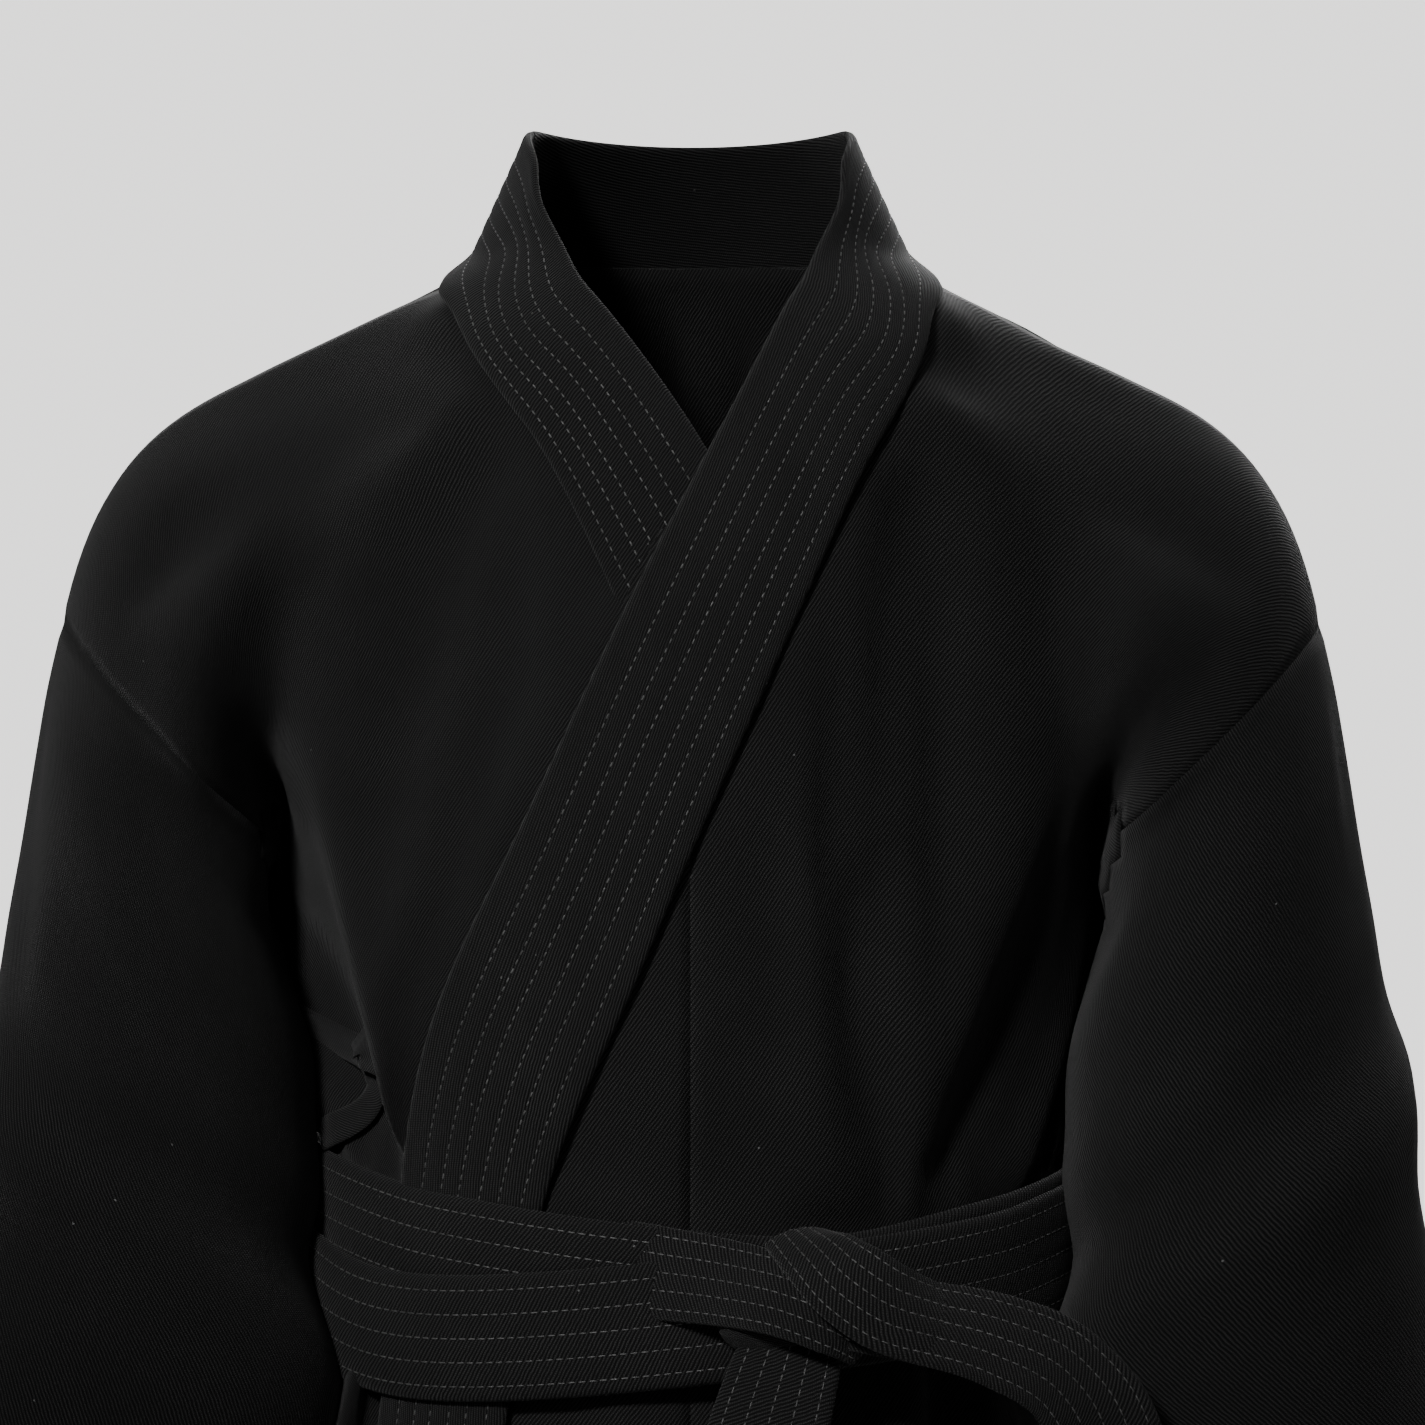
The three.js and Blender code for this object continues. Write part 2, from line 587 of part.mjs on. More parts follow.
const waistband = sheet(
  (u, v, lift) => onForm(HIPS, 360 * u, SEAT.top + 1 + v * WAISTBAND_HEIGHT, lift),
  NECK_STEPS,
  1,
  -CLOTH - LAYER_GAP,
  CLOTH / 2,
  true,
);
const drawstring = (side) =>
  sheet(
    (u, v, lift) => onForm(HIPS, side * (4 + 3 * u) + (v - 0.5) * 4, SEAT.top + 20 - 90 * u, lift),
    6,
    1,
    CLOTH / 2 + LAYER_GAP,
    CLOTH / 2 + LAYER_GAP + 1.2,
  );

// ---- The uniform --------------------------------------------------------------------------------
const twill = new THREE.MeshStandardMaterial({ color: 0x0b0b0c, roughness: 0.85, metalness: 0 });
const bandCloth = new THREE.MeshStandardMaterial({ color: 0x0c0c0d, roughness: 0.8, metalness: 0 });
const beltCloth = new THREE.MeshStandardMaterial({ color: 0x0e0e10, roughness: 0.75, metalness: 0 });
const tape = new THREE.MeshStandardMaterial({ color: 0x0a0a0b, roughness: 0.9, metalness: 0 });

const uniform = new THREE.Group();
const put = (name, made, material) => {
  const mesh = new THREE.Mesh(geometryOf(made), material);
  mesh.name = name;
  uniform.add(mesh);
};
const putPair = (name, made, material) => {
  put(`left_${name}`, made, material);
  put(`right_${name}`, mirrored(made), material);
};

put("left_front", leftFront, twill);
put("left_overlap_panel", leftOverlap, twill);
put("right_front", rightFront, twill);
put("right_overlap_panel", rightOverlap, twill);
putPair("back", back.intersect(leftHalf), twill);
put("shoulder_lining", lining, twill);
putPair("underarm_gusset", gusset, twill);
putPair("upper_sleeve", upperSleeve, twill);
putPair("lower_sleeve", lowerSleeve, twill);
putPair("vent_patch", ventPatch, twill);
put("left_lapel", leftBand, bandCloth);
put("right_lapel", rightBand, bandCloth);
put("collar_back", collarBack, bandCloth);

put("belt_first_wrap", firstWrap, beltCloth);
put("belt_second_wrap", secondWrap, beltCloth);
put("belt_knot_core", knotCore, beltCloth);
put("belt_knot_wrap", knotWrap, beltCloth);
put("belt_left_tail", leftTail, beltCloth);
put("belt_right_tail", rightTail, beltCloth);

put("outer_tie_loop", outerTieLoop, tape);
put("outer_tie_knot", tieKnot, tape);
put("inner_tie_front", innerTie(50, 67), tape);
put("inner_tie_side", innerTie(68, 86), tape);

putPair("trouser_leg", upperLeg, twill);
putPair("trouser_shin", lowerLeg, twill);
put("trouser_gusset", crotchGusset, twill);
put("trouser_waistband", waistband, twill);
put("left_drawstring", drawstring(1), tape);
put("right_drawstring", drawstring(-1), tape);

export default uniform;
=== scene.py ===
"""A black martial arts uniform: wrapped jacket, tied belt and trousers.

The jacket cloth is cut flat, hung on a temporary wearer form, belted and left to settle.
The bands, belt, knot, ties and trousers are then built over it, in metres.
Azimuth 0 looks along +Y, the front of the uniform faces -Y and +X is the wearer's left.
"""

from __future__ import annotations

import logging
import math
from dataclasses import dataclass, field
from enum import Enum

import bmesh
import bpy
import numpy as np
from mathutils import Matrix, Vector
from mathutils.bvhtree import BVHTree

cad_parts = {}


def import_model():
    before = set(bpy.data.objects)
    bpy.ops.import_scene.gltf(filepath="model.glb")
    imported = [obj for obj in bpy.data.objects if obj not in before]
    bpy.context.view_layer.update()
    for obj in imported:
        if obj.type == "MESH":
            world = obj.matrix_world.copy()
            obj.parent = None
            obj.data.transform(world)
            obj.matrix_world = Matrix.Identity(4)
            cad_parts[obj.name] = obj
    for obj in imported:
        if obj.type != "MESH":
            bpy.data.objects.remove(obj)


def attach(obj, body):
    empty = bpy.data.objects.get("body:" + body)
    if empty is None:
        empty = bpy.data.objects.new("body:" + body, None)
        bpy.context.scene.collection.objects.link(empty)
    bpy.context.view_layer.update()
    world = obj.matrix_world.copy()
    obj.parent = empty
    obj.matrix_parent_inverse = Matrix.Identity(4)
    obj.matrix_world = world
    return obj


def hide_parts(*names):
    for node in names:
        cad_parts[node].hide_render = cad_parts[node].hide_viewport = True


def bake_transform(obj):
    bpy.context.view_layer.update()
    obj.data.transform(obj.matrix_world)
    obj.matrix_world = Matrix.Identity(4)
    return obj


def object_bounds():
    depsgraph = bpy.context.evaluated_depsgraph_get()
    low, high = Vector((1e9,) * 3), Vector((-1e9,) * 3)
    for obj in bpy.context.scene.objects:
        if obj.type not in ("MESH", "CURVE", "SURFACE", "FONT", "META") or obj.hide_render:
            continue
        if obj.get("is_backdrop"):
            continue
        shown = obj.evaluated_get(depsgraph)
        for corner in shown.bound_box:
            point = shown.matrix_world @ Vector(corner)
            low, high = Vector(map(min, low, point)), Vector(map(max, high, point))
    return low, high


LOG = logging.getLogger("uniform")
MM = 0.001
SEED = 11

# Driving sizes of the garment, in metres.
CLOTH_THICK = 0.0013
BAND_WIDTH = 0.050
BELT_WIDTH = 0.040
BELT_THICK = 0.0030
JACKET_LENGTH = 0.600
SHOULDER = 0.25          # centre back to the sleeve seam, measured on the flat cut
ARMHOLE = 0.18           # depth of the flat sleeve at the seam
SLEEVE_LENGTH = 0.34
VENT_TOP = 0.47          # where the side vents begin, below the shoulder


class Side(Enum):
    """Which side of the wearer a piece is on."""

    LEFT = 1
    RIGHT = -1

    @property
    def word(self) -> str:
        """The side as it is written in the CAD names."""
        return self.name.lower()


class Slot(Enum):
    """The record's material slots."""

    TWILL = "twill"
    BAND = "lapel_band"
    BELT = "belt"
    TAPE = "tape"


@dataclass(frozen=True)
class ClothFinish:
    """The look of one woven cloth.

    Attributes:
        name: Material name.
        slot: Material slot of the record.
        high: Linear grey on top of the threads, a painted highlight on the wale tops.
        angle: Direction of the wales from the length of the cloth, in degrees.
        lint: Share of pale lint specks.
        low: Linear grey between the threads, painted shade in the grooves.
        pitch: Distance between two wales, in metres.
        roughness: Surface roughness.
        sheen: Weight of the fibre sheen.
        height: Height of the weave relief, in metres.
    """

    name: str
    slot: Slot
    high: float
    angle: float
    lint: float
    low: float = 0.0012
    pitch: float = 1.05 * MM
    roughness: float = 0.85
    sheen: float = 0.03
    height: float = 0.30 * MM


# In each finish the high grey is a painted highlight on the thread tops and the low grey is painted shade between the
# threads.
TWILL = ClothFinish("black twill", Slot.TWILL, 0.0150, 35.0, 0.35)
SLEEVE_TWILL = ClothFinish("black sleeve twill", Slot.TWILL, 0.0140, 62.0, 0.35)
TROUSER_TWILL = ClothFinish("black trouser twill", Slot.TWILL, 0.0130, -35.0, 0.25)
BAND_CLOTH = ClothFinish(
    "black band twill", Slot.BAND, 0.0165, 8.0, 0.4, low=0.0013, roughness=0.83, sheen=0.035, height=0.32 * MM)
BAND_CLOTH_RIGHT = ClothFinish(
    "black right band twill", Slot.BAND, 0.0150, 70.0, 0.4, low=0.0013, roughness=0.83, sheen=0.035, height=0.32 * MM)
BELT_CLOTH = ClothFinish(
    "black belt twill", Slot.BELT, 0.0180, 58.0, 0.3, 0.0013, 1.15 * MM, roughness=0.80, sheen=0.035, height=0.35 * MM)
TAPE_CLOTH = ClothFinish(
    "black cotton tape", Slot.TAPE, 0.0180, 45.0, 0.2, 0.0014, 0.75 * MM, roughness=0.80, sheen=0.035, height=0.22 * MM)


def smooth(low: float, high: float, x: np.ndarray | float) -> np.ndarray:
    """Rises smoothly from 0 at low to 1 at high.

    Args:
        low: Where the rise starts.
        high: Where it ends.
        x: Value or values to place on the rise.

    Returns:
        The share of the rise, 0 to 1.
    """
    t = np.clip((np.asarray(x, float) - low) / (high - low), 0.0, 1.0)
    return t * t * (3 - 2 * t)


def catmull(points: np.ndarray, count: int) -> np.ndarray:
    """Draws a smooth line through points.

    Args:
        points: Corner points, one row each.
        count: Number of points on the finished line.

    Returns:
        The points of the line.
    """
    p = np.asarray(points, float)
    p = np.vstack([2 * p[0] - p[1], p, 2 * p[-1] - p[-2]])
    s = np.linspace(0, len(p) - 3 - 1e-9, count)
    k = s.astype(int)
    t = (s - k)[:, None]
    a, b, c, d = p[k], p[k + 1], p[k + 2], p[k + 3]
    return 0.5 * (2 * b + (c - a) * t + (2 * a - 5 * b + 4 * c - d) * t**2 + (3 * b - a - 3 * c + d) * t**3)


def unit(v: np.ndarray) -> np.ndarray:
    """Scales vectors to length one."""
    return v / np.maximum(np.linalg.norm(v, axis=-1, keepdims=True), 1e-12)


@dataclass(frozen=True)
class Form:
    """An upright form with an oval section at each height.

    Attributes:
        rows: (height, centre y, half width, half depth) in millimetres, top first.
    """

    rows: tuple[tuple[float, float, float, float], ...]

    def oval(self, z: np.ndarray | float) -> tuple[np.ndarray, np.ndarray, np.ndarray]:
        """The section at a height.

        Args:
            z: Height or heights, in metres.

        Returns:
            Centre y, half width and half depth, in metres.
        """
        r = np.array(self.rows, float)[::-1] * MM
        return tuple(np.interp(z, r[:, 0], r[:, k]) for k in (1, 2, 3))

    def point(self, turn: np.ndarray | float, z: np.ndarray | float, lift: np.ndarray | float = 0.0) -> np.ndarray:
        """A point on the form, lifted along its normal.

        Args:
            turn: Degrees round the form: 0 front, 90 wearer's left, 180 back.
            z: Height in metres.
            lift: Distance off the form in metres.

        Returns:
            The points, in metres.
        """
        turn, z, lift = np.broadcast_arrays(np.asarray(turn, float), np.asarray(z, float), np.asarray(lift, float))
        yc, w, d = self.oval(z)
        t = np.radians(turn)
        n = unit(np.stack([np.sin(t) / w, -np.cos(t) / d], -1))
        return np.stack([w * np.sin(t) + n[..., 0] * lift, yc - d * np.cos(t) + n[..., 1] * lift, z], -1)


BODY = Form((
    (44, 9, 52, 45), (0, 9, 72, 60), (-12, 9, 94, 66), (-30, 9, 117, 76), (-55, 8, 125, 88),
    (-85, 6, 128, 97), (-120, 4, 129, 103), (-180, 2, 131, 106), (-247.5, 0, 128, 102),
    (-270, 0, 124, 96), (-285, 0, 120, 92), (-350, 0, 120, 92), (-375, 0, 124, 95),
    (-410, 0, 136, 99), (-480, 0, 148, 110), (-560, 0, 158, 121), (-600, 0, 163.5, 120),
))
CINCH = Form(((100, 0, 120, 92), (-700, 0, 120, 92)))
HIPS = Form((
    (-285, 0, 106, 79), (-335, 0, 108, 81), (-360, 0, 110, 81), (-410, 0, 118, 87),
    (-480, 0, 130, 98), (-560, 0, 134, 100), (-700, 0, 134, 100),
))
WEARER = Form((
    (60, 12, 48, 46), (-2, 10, 58, 48), (-14, 9, 84, 50), (-28, 8, 104, 52), (-42, 7, 116, 56),
    (-60, 6, 120, 64), (-85, 5, 112, 76), (-120, 3, 106, 86), (-180, 1, 105, 91),
    (-250, 0, 106, 84), (-315, 0, 106, 79), (-350, 0, 108, 81), (-400, 0, 118, 88),
    (-500, 0, 133, 95), (-720, 0, 140, 92),
))

# The left lapel on the body form: (turn in degrees, height in millimetres).
BAND_SEAM = (
    (90, 0), (66, -10), (46, -22), (33, -50), (23, -81),
    (3, -177), (-10, -245), (-24.5, -312), (-29, -430), (-31, -600),
)
BAND_FREE = (
    (90, 44), (62, 34), (50, 19), (28, -5), (13, -27),
    (-7, -105), (-25, -189), (-50, -290), (-51, -430), (-48, -600),
)
# Parts of the belt laid free: line in mm, width in mm at each of its points, and which way the face looks there.
LEFT_TAIL = (
    ((52, -122, -333), (72, -127, -336), (96, -126, -342), (117, -123, -354), (130, -120, -378),
     (136, -118.5, -431), (139, -117, -511), (140, -118, -565)),
    (26, 30, 33, 36, 38, 40, 40, 40),
    ((-0.1, -1, 0.5), (0, -1, 0.7), (0.15, -1, 0.6), (0.5, -1, 0.35), (0.25, -1, 0.1), (0.1, -1, 0),
     (0.05, -1, 0), (0, -1, 0)),
)
RIGHT_TAIL = (
    ((34, -112, -334), (30, -117, -350), (23, -121, -376), (15, -123, -420), (4, -125.5, -506), (-8, -127.9, -618)),
    (28, 34, 39, 40, 40, 40),
    ((0, -1, 0.2), (-0.2, -1, 0.1), (-0.25, -1, 0), (-0.15, -1, 0), (0, -1, 0), (0.1, -1, 0)),
)
KNOT_OVER = (
    ((-30, -84, -321), (-12, -96, -323), (8, -108, -325), (28, -122, -328), (45, -127, -334), (54, -119, -341)),
    (30, 30, 28, 26, 25, 20),
    ((-0.35, -1, 0.2), (-0.4, -1, 0.25), (-0.25, -1, 0.3), (0.1, -1, 0.2), (0.5, -1, -0.1), (0.9, -0.6, -0.3)),
)
KNOT_ACROSS = (
    ((33, -110, -312), (40, -123, -316), (49, -131.5, -323), (61, -131.5, -331), (76, -126.5, -337), (88, -119, -341)),
    (22, 25, 28, 29, 29, 27),
    ((0.1, -0.6, 1), (0, -1, 0.8), (-0.05, -1, 0.4), (0.05, -1, 0.35), (0.05, -1, 0.6), (0.15, -1, 0.6)),
)
# Centre lines of the two belt turns: (turn in degrees, height in millimetres).
FIRST_TURN = ((-180, -300), (-90, -305), (-40, -320), (15, -332), (50, -323), (90, -312), (180, -300))
SECOND_TURN = ((-180, -307), (-90, -328), (-45, -345), (15, -335), (50, -327), (90, -316), (180, -307))


@dataclass
class Sheet:
    """A mesh being put together.

    Attributes:
        points: Vertex places.
        faces: Vertex numbers of each face.
        uvs: Place of each vertex on the flat cloth, in metres.
    """

    points: list = field(default_factory=list)
    faces: list = field(default_factory=list)
    uvs: list = field(default_factory=list)

    def grid(self, places: np.ndarray, flat: np.ndarray, closed: bool = False) -> None:
        """Adds a grid of quads.

        Args:
            places: (rows, columns, 3) vertex places.
            flat: (rows, columns, 2) places on the flat cloth.
            closed: Whether the last column joins the first.
        """
        base, (rows, cols) = len(self.points), places.shape[:2]
        self.points.extend(places.reshape(-1, 3).tolist())
        self.uvs.extend(flat.reshape(-1, 2).tolist())
        last = cols if closed else cols - 1
        for r in range(rows - 1):
            for c in range(last):
                d, top, low = (c + 1) % cols, base + r * cols, base + (r + 1) * cols
                self.faces.append((top + c, top + d, low + d, low + c))

    def make(self, name: str, material: bpy.types.Material | None = None) -> bpy.types.Object:
        """Turns the mesh into an object.

        Args:
            name: Object name.
            material: Its material.

        Returns:
            The object, linked to the scene.
        """
        mesh = bpy.data.meshes.new(name)
        mesh.from_pydata([tuple(p) for p in self.points], [], self.faces)
        if self.uvs:
            layer = mesh.uv_layers.new(name="cloth")
            index = np.empty(len(mesh.loops), int)
            mesh.loops.foreach_get("vertex_index", index)
            layer.data.foreach_set("uv", np.array(self.uvs, np.float32)[index].ravel())
        mesh.polygons.foreach_set("use_smooth", [True] * len(mesh.polygons))
        mesh.update()
        obj = bpy.data.objects.new(name, mesh)
        bpy.context.scene.collection.objects.link(obj)
        if material:
            mesh.materials.append(material)
        return obj


def apply_modifiers(obj: bpy.types.Object) -> None:
    """Makes an object's modifiers part of its mesh.

    Args:
        obj: The object.
    """
    graph = bpy.context.evaluated_depsgraph_get()
    done = bpy.data.meshes.new_from_object(obj.evaluated_get(graph), depsgraph=graph)
    obj.modifiers.clear()
    obj.data = done


def thicken(obj: bpy.types.Object, thickness: float, offset: float = -1.0) -> None:
    """Gives an open sheet its thickness.

    Args:
        obj: The sheet.
        thickness: Thickness in metres.
        offset: -1 grows inwards from the sheet, 0 both ways.
    """
    wall = obj.modifiers.new("thickness", "SOLIDIFY")
    wall.thickness, wall.offset, wall.use_rim = thickness, offset, True
    apply_modifiers(obj)


class Stitches:
    """Collects short thread stitches into one mesh."""

    SIDES = 5
    PROFILE = ((-0.5, 0.35), (-0.36, 1.0), (0.36, 1.0), (0.5, 0.35))

    def __init__(self) -> None:
        """Starts with no stitches."""
        self.sheet = Sheet()

    def run(self, line: np.ndarray, normals: np.ndarray, pitch: float, length: float, radius: float) -> None:
        """Sews a row of stitches along a line.

        Args:
            line: Points of the row, close together.
            normals: Surface normal at each point.
            pitch: Distance from one stitch to the next.
            length: Length of each stitch.
            radius: Half the thickness of the thread.
        """
        steps = np.linalg.norm(np.diff(line, axis=0), axis=1)
        along = np.concatenate([[0], np.cumsum(steps)])
        places = np.arange(pitch / 2, along[-1] - pitch / 2, pitch)
        if not len(places):
            return
        centre = np.stack([np.interp(places, along, line[:, k]) for k in range(3)], -1)
        ahead = np.stack([np.interp(places + length / 2, along, line[:, k]) for k in range(3)], -1)
        back = np.stack([np.interp(places - length / 2, along, line[:, k]) for k in range(3)], -1)
        n = unit(np.stack([np.interp(places, along, normals[:, k]) for k in range(3)], -1))
        t = unit(ahead - back)
        b = unit(np.cross(t, n))
        for c, tt, nn, bb in zip(centre, t, n, b):
            base = len(self.sheet.points)
            for s, size in self.PROFILE:
                for k in range(self.SIDES):
                    a = 2 * math.pi * k / self.SIDES
                    spot = c + tt * s * length + (bb * math.cos(a) * 1.15 + nn * math.sin(a) * 0.7) * radius * size
                    self.sheet.points.append((spot + nn * radius * (0.25 if abs(s) < 0.5 else -0.3)).tolist())
            m = self.SIDES
            for r in range(len(self.PROFILE) - 1):
                top, low = base + r * m, base + (r + 1) * m
                for k in range(m):
                    e = (k + 1) % m
                    self.sheet.faces.append((top + k, top + e, low + e, low + k))
            self.sheet.faces.append(tuple(base + k for k in range(m))[::-1])
            self.sheet.faces.append(tuple(base + 3 * m + k for k in range(m)))

    def make(self, name: str, material: bpy.types.Material) -> bpy.types.Object:
        """Makes the mesh object of every stitch so far."""
        return self.sheet.make(name, material)


class Materials:
    """Builds the procedural materials and the groups they share."""

    def __init__(self) -> None:
        """Builds the shared groups."""
        self.weave = self._weave_group()
        self.lint = self._lint_group()
        self.made: dict[str, bpy.types.Material] = {}

    @staticmethod
    def _group(name: str, inputs: dict[str, tuple[str, float | None]], outputs: dict[str, str]) -> bpy.types.NodeTree:
        """Makes an empty node group with its sockets.

        Args:
            name: Group name.
            inputs: Socket type and default by socket name.
            outputs: Socket type by socket name.

        Returns:
            The group, with "in" and "out" nodes.
        """
        tree = bpy.data.node_groups.new(name, "ShaderNodeTree")
        for key, (kind, value) in inputs.items():
            sock = tree.interface.new_socket(name=key, in_out="INPUT", socket_type=kind)
            if value is not None:
                sock.default_value = value
        for key, kind in outputs.items():
            tree.interface.new_socket(name=key, in_out="OUTPUT", socket_type=kind)
        tree.nodes.new("NodeGroupInput").name = "in"
        tree.nodes.new("NodeGroupOutput").name = "out"
        return tree

    @staticmethod
    def _math(tree: bpy.types.NodeTree, kind: str, *values: object) -> bpy.types.NodeSocket:
        """Adds a math node.

        Args:
            tree: Node tree.
            kind: Operation.
            values: Sockets or numbers, in order.

        Returns:
            Its output socket.
        """
        node = tree.nodes.new("ShaderNodeMath")
        node.operation = kind
        for k, v in enumerate(values):
            if isinstance(v, bpy.types.NodeSocket):
                tree.links.new(v, node.inputs[k])
            else:
                node.inputs[k].default_value = v
        return node.outputs[0]

    @staticmethod
    def _noise(
        tree: bpy.types.NodeTree, vector: bpy.types.NodeSocket, scale: float, detail: float | None = None
    ) -> bpy.types.Node:
        """Adds a noise texture.

        Args:
            tree: Node tree.
            vector: Where it is read.
            scale: Its scale.
            detail: Its detail, or None for the usual one.

        Returns:
            The node.
        """
        node = tree.nodes.new("ShaderNodeTexNoise")
        node.inputs["Scale"].default_value = scale
        if detail is not None:
            node.inputs["Detail"].default_value = detail
        tree.links.new(vector, node.inputs["Vector"])
        return node

    @staticmethod
    def _ramp(tree: bpy.types.NodeTree, value: bpy.types.NodeSocket, low: tuple, high: tuple) -> bpy.types.Node:
        """Adds a ramp between two colours.

        Args:
            tree: Node tree.
            value: What drives it.
            low: Colour at its start.
            high: Colour at its end.

        Returns:
            The node.
        """
        node = tree.nodes.new("ShaderNodeValToRGB")
        for element, colour in zip(node.color_ramp.elements, (low, high)):
            element.color = (*colour, 1)
        tree.links.new(value, node.inputs[0])
        return node

    @staticmethod
    def _bump(
        tree: bpy.types.NodeTree, shader: bpy.types.Node, height: bpy.types.NodeSocket, distance: float
    ) -> bpy.types.Node:
        """Raises a surface by a height.

        Args:
            tree: Node tree.
            shader: The surface's shader.
            height: Height, 0 to 1.
            distance: What a height of 1 stands for, in metres.

        Returns:
            The node.
        """
        node = tree.nodes.new("ShaderNodeBump")
        node.inputs["Distance"].default_value = distance
        tree.links.new(height, node.inputs["Height"])
        tree.links.new(node.outputs[0], shader.inputs["Normal"])
        return node

    def _weave_group(self) -> bpy.types.NodeTree:
        """Builds the diagonal weave: ribs across the pitch, broken into single threads.

        Returns:
            The group, with outputs Height (0 to 1) and Tone (0 to 1); Tone is a painted highlight on the thread tops
            and painted shade between the threads, broken by random fibre fuzz.
        """
        f, v = "NodeSocketFloat", "NodeSocketVector"
        inputs = {"Vector": (v, None), "Pitch": (f, 0.001), "Angle": (f, 0.6)}
        tree = self._group("DiagonalWeave", inputs, {"Height": f, "Tone": f})
        n, link, m = tree.nodes, tree.links.new, self._math
        source = n["in"].outputs
        turn = n.new("ShaderNodeVectorRotate")
        turn.rotation_type = "Z_AXIS"
        link(source["Vector"], turn.inputs["Vector"])
        link(source["Angle"], turn.inputs["Angle"])
        wobble = self._noise(tree, source["Vector"], 260.0, 1.0)
        parts = n.new("ShaderNodeSeparateXYZ")
        link(turn.outputs[0], parts.inputs[0])
        across = m(tree, "DIVIDE", parts.outputs[0], source["Pitch"])
        across = m(tree, "ADD", across, m(tree, "MULTIPLY", wobble.outputs["Fac"], 0.55))
        rib = m(tree, "SINE", m(tree, "MULTIPLY", across, 2 * math.pi))
        along = m(tree, "DIVIDE", parts.outputs[1], m(tree, "MULTIPLY", source["Pitch"], 0.62))
        along = m(tree, "ADD", along, m(tree, "MULTIPLY", across, 0.5))
        thread = m(tree, "SINE", m(tree, "MULTIPLY", along, 2 * math.pi))
        rib01 = m(tree, "MULTIPLY_ADD", rib, 0.5, 0.5)
        thread01 = m(tree, "MULTIPLY_ADD", thread, 0.5, 0.5)
        lump = m(tree, "MULTIPLY", rib01, m(tree, "MULTIPLY_ADD", thread01, 0.45, 0.55))
        fuzz = self._noise(tree, source["Vector"], 2600.0, 2.0)
        height = m(tree, "MULTIPLY_ADD", fuzz.outputs["Fac"], 0.30, lump)
        link(height, n["out"].inputs["Height"])
        # Painted light: the tone is bright where the weave stands high and painted shade in its grooves, times random
        # fibre fuzz.
        tone = m(tree, "MULTIPLY", m(tree, "POWER", lump, 1.6), m(tree, "MULTIPLY_ADD", fuzz.outputs["Fac"], 1.5, 0.25))
        link(tone, n["out"].inputs["Tone"])
        return tree

    def _lint_group(self) -> bpy.types.NodeTree:
        """Builds slow wear patches and sparse pale lint specks.

        Returns:
            The group, with outputs Patches (0 to 1) and Specks (0 to 1).
        """
        f, v = "NodeSocketFloat", "NodeSocketVector"
        tree = self._group("WearAndLint", {"Vector": (v, None), "Amount": (f, 0.3)}, {"Patches": f, "Specks": f})
        n, link, m = tree.nodes, tree.links.new, self._math
        source = n["in"].outputs
        slow = self._noise(tree, source["Vector"], 22.0, 5.0)
        slow.inputs["Roughness"].default_value = 0.62
        swing = m(tree, "SUBTRACT", slow.outputs["Fac"], 0.5)
        link(m(tree, "MULTIPLY_ADD", swing, 1.7, 0.5), n["out"].inputs["Patches"])
        cells = n.new("ShaderNodeTexVoronoi")
        cells.inputs["Scale"].default_value = 150.0
        link(source["Vector"], cells.inputs["Vector"])
        near = m(tree, "LESS_THAN", cells.outputs["Distance"], 0.055)
        tint = n.new("ShaderNodeSeparateColor")
        link(cells.outputs["Color"], tint.inputs[0])
        chosen = m(tree, "LESS_THAN", tint.outputs[0], m(tree, "MULTIPLY", source["Amount"], 0.12))
        link(m(tree, "MULTIPLY", near, chosen), n["out"].inputs["Specks"])
        return tree

    def cloth(self, finish: ClothFinish) -> bpy.types.Material:
        """Makes the material of a woven cloth.

        Args:
            finish: Its values.

        Returns:
            The material.
        """
        if finish.name in self.made:
            return self.made[finish.name]
        mat, tree, shader = self._start(finish.name)
        n, link, m = tree.nodes, tree.links.new, self._math
        uv = n.new("ShaderNodeUVMap")
        uv.uv_map = "cloth"
        weave = n.new("ShaderNodeGroup")
        weave.node_tree = self.weave
        weave.inputs["Pitch"].default_value = finish.pitch
        weave.inputs["Angle"].default_value = math.radians(finish.angle)
        link(uv.outputs[0], weave.inputs["Vector"])
        lint = n.new("ShaderNodeGroup")
        lint.node_tree = self.lint
        lint.inputs["Amount"].default_value = finish.lint
        link(uv.outputs[0], lint.inputs["Vector"])
        # The grey mixes the weave's painted highlight and painted shade with random wear patches; pale lint specks are
        # added on top.
        tone = m(tree, "MULTIPLY", weave.outputs["Tone"], m(tree, "MULTIPLY_ADD", lint.outputs["Patches"], 0.7, 0.6))
        grey = m(tree, "MULTIPLY_ADD", tone, finish.high - finish.low, finish.low)
        grey = m(tree, "MULTIPLY_ADD", lint.outputs["Specks"], 0.05, grey)
        colour = n.new("ShaderNodeCombineColor")
        for k in range(3):
            link(grey, colour.inputs[k])
        link(colour.outputs[0], shader.inputs["Base Color"])
        rough = m(tree, "MULTIPLY_ADD", lint.outputs["Patches"], 0.10, finish.roughness - 0.05)
        link(rough, shader.inputs["Roughness"])
        bump = self._bump(tree, shader, weave.outputs["Height"], finish.height)
        bump.inputs["Strength"].default_value = 0.9
        shader.inputs["Specular IOR Level"].default_value = 0.05
        shader.inputs["Sheen Weight"].default_value = finish.sheen
        shader.inputs["Sheen Roughness"].default_value = 0.45
        self.made[finish.name] = mat
        return mat

